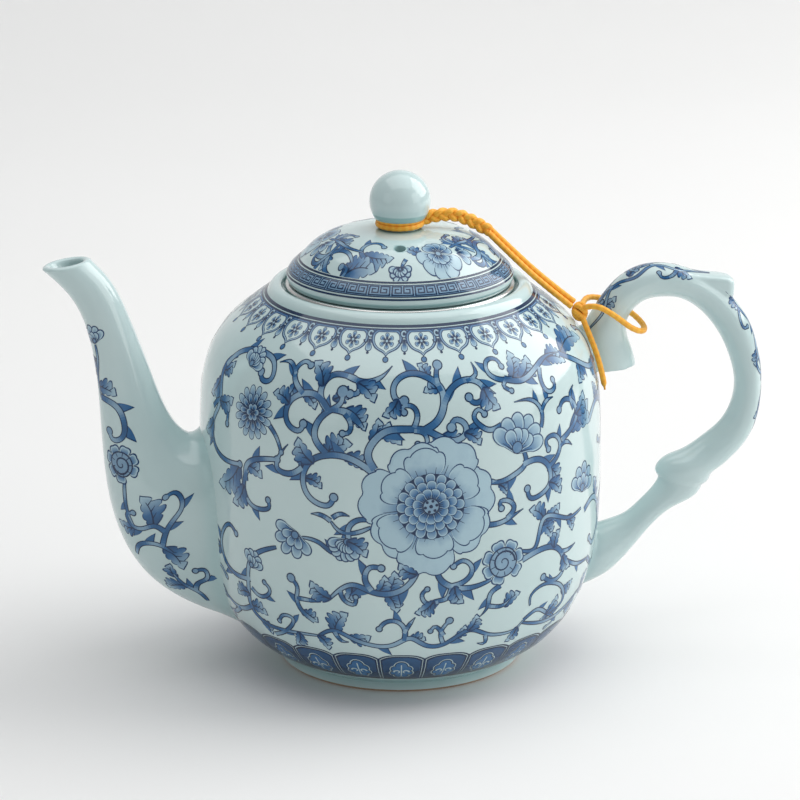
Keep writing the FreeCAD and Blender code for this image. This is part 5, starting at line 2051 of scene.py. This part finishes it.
@dataclass
class Cord:
    """The golden cord from the knob to the handle."""

    silk: bpy.types.Material
    diameter: float = 1.9

    def tube(self, name: str, line: Sequence[Vector], diameter: float, plaits: int = 8, pitch: float = 4.2,
             tapered: bool = False) -> bpy.types.Object:
        """A plaited round cord along a line.

        Args:
            name: the piece's name.
            line: the points it follows, in metres.
            diameter: in millimetres.
            plaits: strands seen round it.
            pitch: millimetres along for one turn of a strand.
            tapered: whether its far end is drawn to a point.

        Returns:
            The piece, closed at both ends.
        """
        q, a, b, s = framed(line)
        turn = np.linspace(0, TAU, 22, endpoint=False)
        phase = s[:, None] * 1000 / pitch * TAU
        ways = plaits / 2
        weave = np.cos(ways * (turn + phase / ways)) * np.cos(ways * (turn - phase / ways))
        radius = diameter / 2 * MM * (0.965 + 0.075 * weave)
        if tapered:
            radius = radius * np.clip((s[-1] - s) / 0.0022, 0.35, 1.0)[:, None]
        rings = q[:, None] + radius[..., None] * (np.cos(turn)[None, :, None] * a[:, None]
                                                  + np.sin(turn)[None, :, None] * b[:, None])
        made = grid_mesh(name, rings, ends=True)
        count = len(made.data.vertices)
        # Painted light and shade of the plait: high on the strands' crests, low in the grooves.
        store = made.data.attributes.new("plait_light_and_shade", "FLOAT", "POINT")
        value = (0.5 + 0.5 * weave).ravel()
        store.data.foreach_set("value", np.resize(value, count).astype(np.float32))
        made.data.materials.append(self.silk)
        smooth(made, 60)
        return made

    def strands(self) -> list[bpy.types.Object]:
        """The two strands from the braid to the knot."""
        made = []
        for name, route, node in (("cord_strand_one", STRAND_A_ROUTE, "cord_strand_a"),
                                  ("cord_strand_two", STRAND_B_ROUTE, "cord_strand_b")):
            line = cord_line(name, route)
            piece = self.tube(name, line, self.diameter)
            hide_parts(node)
            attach(piece, "lid")
            made.append((piece, line))
        return made

    def braid(self) -> bpy.types.Object:
        """Three strands plaited from the knob's neck to where they part."""
        q, a, b, s = framed(cord_line("braid_line", BRAID_ROUTE))
        beat = s * 1000 / 9.2 * TAU
        parts = []
        for k in range(3):
            w = beat + k * TAU / 3
            spread = np.minimum(1.0, (s[-1] - s) / 0.004 + 0.55)
            sway = (1.25 * MM * np.sin(w) * spread)[:, None] * b
            line = q + sway + (0.72 * MM * np.sin(2 * w) * spread)[:, None] * a
            parts.append(self.tube(f"plait_{k}", [Vector(p) for p in line], 1.95, 8, 3.6))
        made = joined(parts, "cord_plait")
        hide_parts("cord_braid")
        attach(made, "lid")
        return made

    def neck_wrap(self) -> bpy.types.Object:
        """Two turns of cord round the knob's neck."""
        parts = []
        for k, z in enumerate((140.72, 142.46)):
            a = np.linspace(0, TAU, 97)
            lean = 0.18 * np.sin(a + 0.6)
            line = np.stack([6.78 * np.cos(a), 6.78 * np.sin(a), z + lean], 1) * MM
            parts.append(self.ring(f"turn_{k}", line[:-1], 1.86))
        made = joined(parts, "cord_neck_turns")
        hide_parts("cord_neck_wrap")
        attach(made, "lid")
        return made

    def ring(self, name: str, line: np.ndarray, diameter: float) -> bpy.types.Object:
        """A plaited cord closed on itself."""
        n = len(line)
        along = np.roll(line, -1, axis=0) - np.roll(line, 1, axis=0)
        along /= np.linalg.norm(along, axis=1)[:, None]
        up = np.array([0.0, 0.0, 1.0])
        a = np.cross(along, up)
        a /= np.linalg.norm(a, axis=1)[:, None]
        b = np.cross(along, a)
        step = 3
        spread = np.linspace(0, n, n * step, endpoint=False)
        parts = [np.stack([np.interp(spread, np.arange(n + 1), np.r_[f[:, k], f[0, k]]) for k in range(3)], 1)
                 for f in (line, a, b)]
        q, a, b = parts
        turn = np.linspace(0, TAU, 18, endpoint=False)
        beats = 11
        phase = (spread / n * TAU * beats)[:, None]
        weave = np.cos(4 * turn + phase) * np.cos(4 * turn - phase)
        radius = diameter / 2 * MM * (0.965 + 0.075 * weave)
        rings = q[:, None] + radius[..., None] * (np.cos(turn)[None, :, None] * a[:, None]
                                                  + np.sin(turn)[None, :, None] * b[:, None])
        count, around = rings.shape[:2]
        index = np.arange(count * around).reshape(count, around)
        ahead, below = np.roll(index, -1, axis=1), np.roll(index, -1, axis=0)
        corner = np.roll(below, -1, axis=1)
        faces = np.stack([index, ahead, corner, below], -1).reshape(-1, 4)
        mesh = bpy.data.meshes.new(name)
        mesh.from_pydata(rings.reshape(-1, 3).tolist(), [], faces.tolist())
        made = new_object(name, mesh)
        # Painted light and shade of the plait: high on the strands' crests, low in the grooves.
        store = mesh.attributes.new("plait_light_and_shade", "FLOAT", "POINT")
        store.data.foreach_set("value", (0.5 + 0.5 * weave).ravel().astype(np.float32))
        face_out(made)
        mesh.materials.append(self.silk)
        smooth(made, 60)
        return made

    def knot(self) -> bpy.types.Object:
        """The tight overhand knot by the handle."""
        parts = []
        tilts = ((0.35, 0.2, 0.0), (1.25, -0.5, 0.9), (-0.85, 0.75, 0.4))
        for k, (rx, ry, shift) in enumerate(tilts):
            a = np.linspace(0, TAU, 48, endpoint=False)
            flat = np.stack([np.cos(a), np.sin(a), 0.22 * np.sin(2 * a + k)], 1)
            turn_x = np.array([[1, 0, 0], [0, math.cos(rx), -math.sin(rx)], [0, math.sin(rx), math.cos(rx)]])
            turn_y = np.array([[math.cos(ry), 0, math.sin(ry)], [0, 1, 0], [-math.sin(ry), 0, math.cos(ry)]])
            shaped = flat @ turn_x.T @ turn_y.T
            line = shaped * (np.array(KNOT_RADII) - 0.98) + np.array(KNOT_CENTRE)
            line[:, 2] += 0.3 * shift
            parts.append(self.ring(f"knot_turn_{k}", line * MM, 1.8))
        made = joined(parts, "cord_knot")
        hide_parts("cord_handle_knot")
        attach(made, "pot")
        return made

    def loop_and_tail(self) -> tuple[bpy.types.Object, list[Vector]]:
        """One run of cord round the handle, through the knot and out as a tail."""
        line = cord_line("loop_and_tail", LOOP_ROUTE + TAIL_ROUTE)
        piece = self.tube("cord_loop", line, self.diameter, tapered=True)
        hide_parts("cord_handle_loop", "cord_tail")
        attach(piece, "pot")
        return piece, line

    def make(self) -> None:
        strands = self.strands()
        braid, wrap, knot = self.braid(), self.neck_wrap(), self.knot()
        loop, loop_line = self.loop_and_tail()
        for (piece, line), extras in zip(strands, ([braid, wrap], [])):
            run_length(line)
            self.diameter * MM
        run_length(loop_line)
        self.diameter * MM


def run_length(line: Sequence[Vector]) -> float:
    """Length of a line of points."""
    return sum((b - a).length for a, b in zip(line, line[1:]))


# ------------------------------------------------------------------ infuser
def finish_infuser(frame: dict[str, Any], steel: bpy.types.Material) -> None:
    """Gives the basket's pieces their satin steel."""
    for name in ("infuser_rim", "infuser_wall", "infuser_base"):
        piece = frame["nodes"][name]
        piece.data.materials.clear()
        piece.data.materials.append(steel)


# ------------------------------------------------------------------ setting
def make_camera() -> None:
    """A long lens a little above the pot, turned eight degrees."""
    azimuth, elevation, distance = math.radians(-8.0), math.radians(17.07), 1.1
    back = Vector((math.sin(azimuth) * math.cos(elevation), -math.cos(azimuth) * math.cos(elevation),
                   math.sin(elevation)))
    data = bpy.data.cameras.new("camera")
    data.lens = 157.4
    data.sensor_width = 36.0
    data.clip_start = 0.02
    camera = new_object("camera", data)
    camera.location = Vector((0, 0, 0.0833)) + back * distance
    camera.rotation_mode = "QUATERNION"
    camera.rotation_quaternion = back.to_track_quat("Z", "Y")
    bpy.context.scene.camera = camera


def area_light(name: str, at: Point3, aim: Point3, size: Point, power: float,
               colour: Rgb = (1.0, 1.0, 1.0)) -> None:
    """A soft rectangular light.

    Args:
        name: its name.
        at: where it stands, in metres.
        aim: where it points.
        size: its width and height.
        power: in watts.
        colour: its tint.
    """
    data = bpy.data.lights.new(name, "AREA")
    data.shape = "RECTANGLE"
    data.size, data.size_y = size
    data.energy = power
    data.color = colour
    lamp = new_object(name, data)
    lamp.location = at
    lamp.rotation_mode = "QUATERNION"
    lamp.rotation_quaternion = (Vector(at) - Vector(aim)).to_track_quat("Z", "Y")


def make_setting() -> None:
    """A pale floor that rises into a backdrop, and soft daylight."""
    profile = [(-1.6, 0.0), (0.9, 0.0), (1.25, 0.06), (1.5, 0.25), (1.62, 0.6), (1.65, 2.6)]
    line = Curve(profile).even(0.05)
    line[:, 1] = np.maximum(line[:, 1], 0.0)
    x = np.array([-3.0, 3.0])
    rings = np.stack([np.stack([x, np.full(2, p[0]), np.full(2, p[1])], 1) for p in line])
    floor = grid_mesh("floor", rings, closed=False)
    smooth(floor, 60)
    s = Shader("pale_floor")
    base = s.mixed(s.noise(3.0, 2.0), (0.82, 0.82, 0.815), (0.85, 0.85, 0.845))
    floor.data.materials.append(s.finish(Base_Color=base, Roughness=0.62))
    aim = (0.0, 0.0, 0.07)
    area_light("window", (1.15, 0.2, 0.85), aim, (1.2, 1.2), 15.0, (1.0, 0.99, 0.975))
    area_light("card", (1.2, -0.75, 0.5), aim, (0.8, 0.9), 3.4)
    area_light("sky", (0.0, 0.1, 1.7), aim, (2.2, 2.0), 17.0)
    area_light("bounce", (-1.3, -0.8, 0.6), aim, (0.9, 0.9), 1.2, (0.95, 0.98, 1.0))
    world = bpy.data.worlds.new("room")
    world.use_nodes = True
    world.node_tree.nodes["Background"].inputs[0].default_value = (0.93, 0.95, 0.97, 1.0)
    world.node_tree.nodes["Background"].inputs[1].default_value = 0.33
    bpy.context.scene.world = world
    bpy.context.scene.view_settings.view_transform = "Standard"


def main() -> None:
    """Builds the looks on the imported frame."""
    logging.basicConfig(level=logging.INFO, format="%(message)s")
    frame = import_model()
    make_camera()
    Cord(SilkCord().material()).make()
    glaze = CeladonGlaze().material()
    wash = CobaltPaint().material()
    line = CobaltPaint(thin=srgb(36, 84, 134), middle=srgb(12, 54, 98), full=srgb(4, 36, 68),
                       name="cobalt_line").material()
    paints = {0: line, 1: wash}
    shape = PotShape()
    pot = Pot(shape, glaze, BareClay().material())
    pot.body()
    spout, grip = pot.spout(), pot.handle()
    painting = PotPainting(shape, paints)
    painting.round_the_pot()
    painting.limbs(spout, grip)
    lid_shape = LidShape()
    lid = Lid(lid_shape, glaze)
    lid.dome()
    lid.knob()
    LidPainting(lid_shape, paints).make()
    finish_infuser(frame, SatinSteel().material())
    make_setting()


if __name__ == "__main__":
    main()
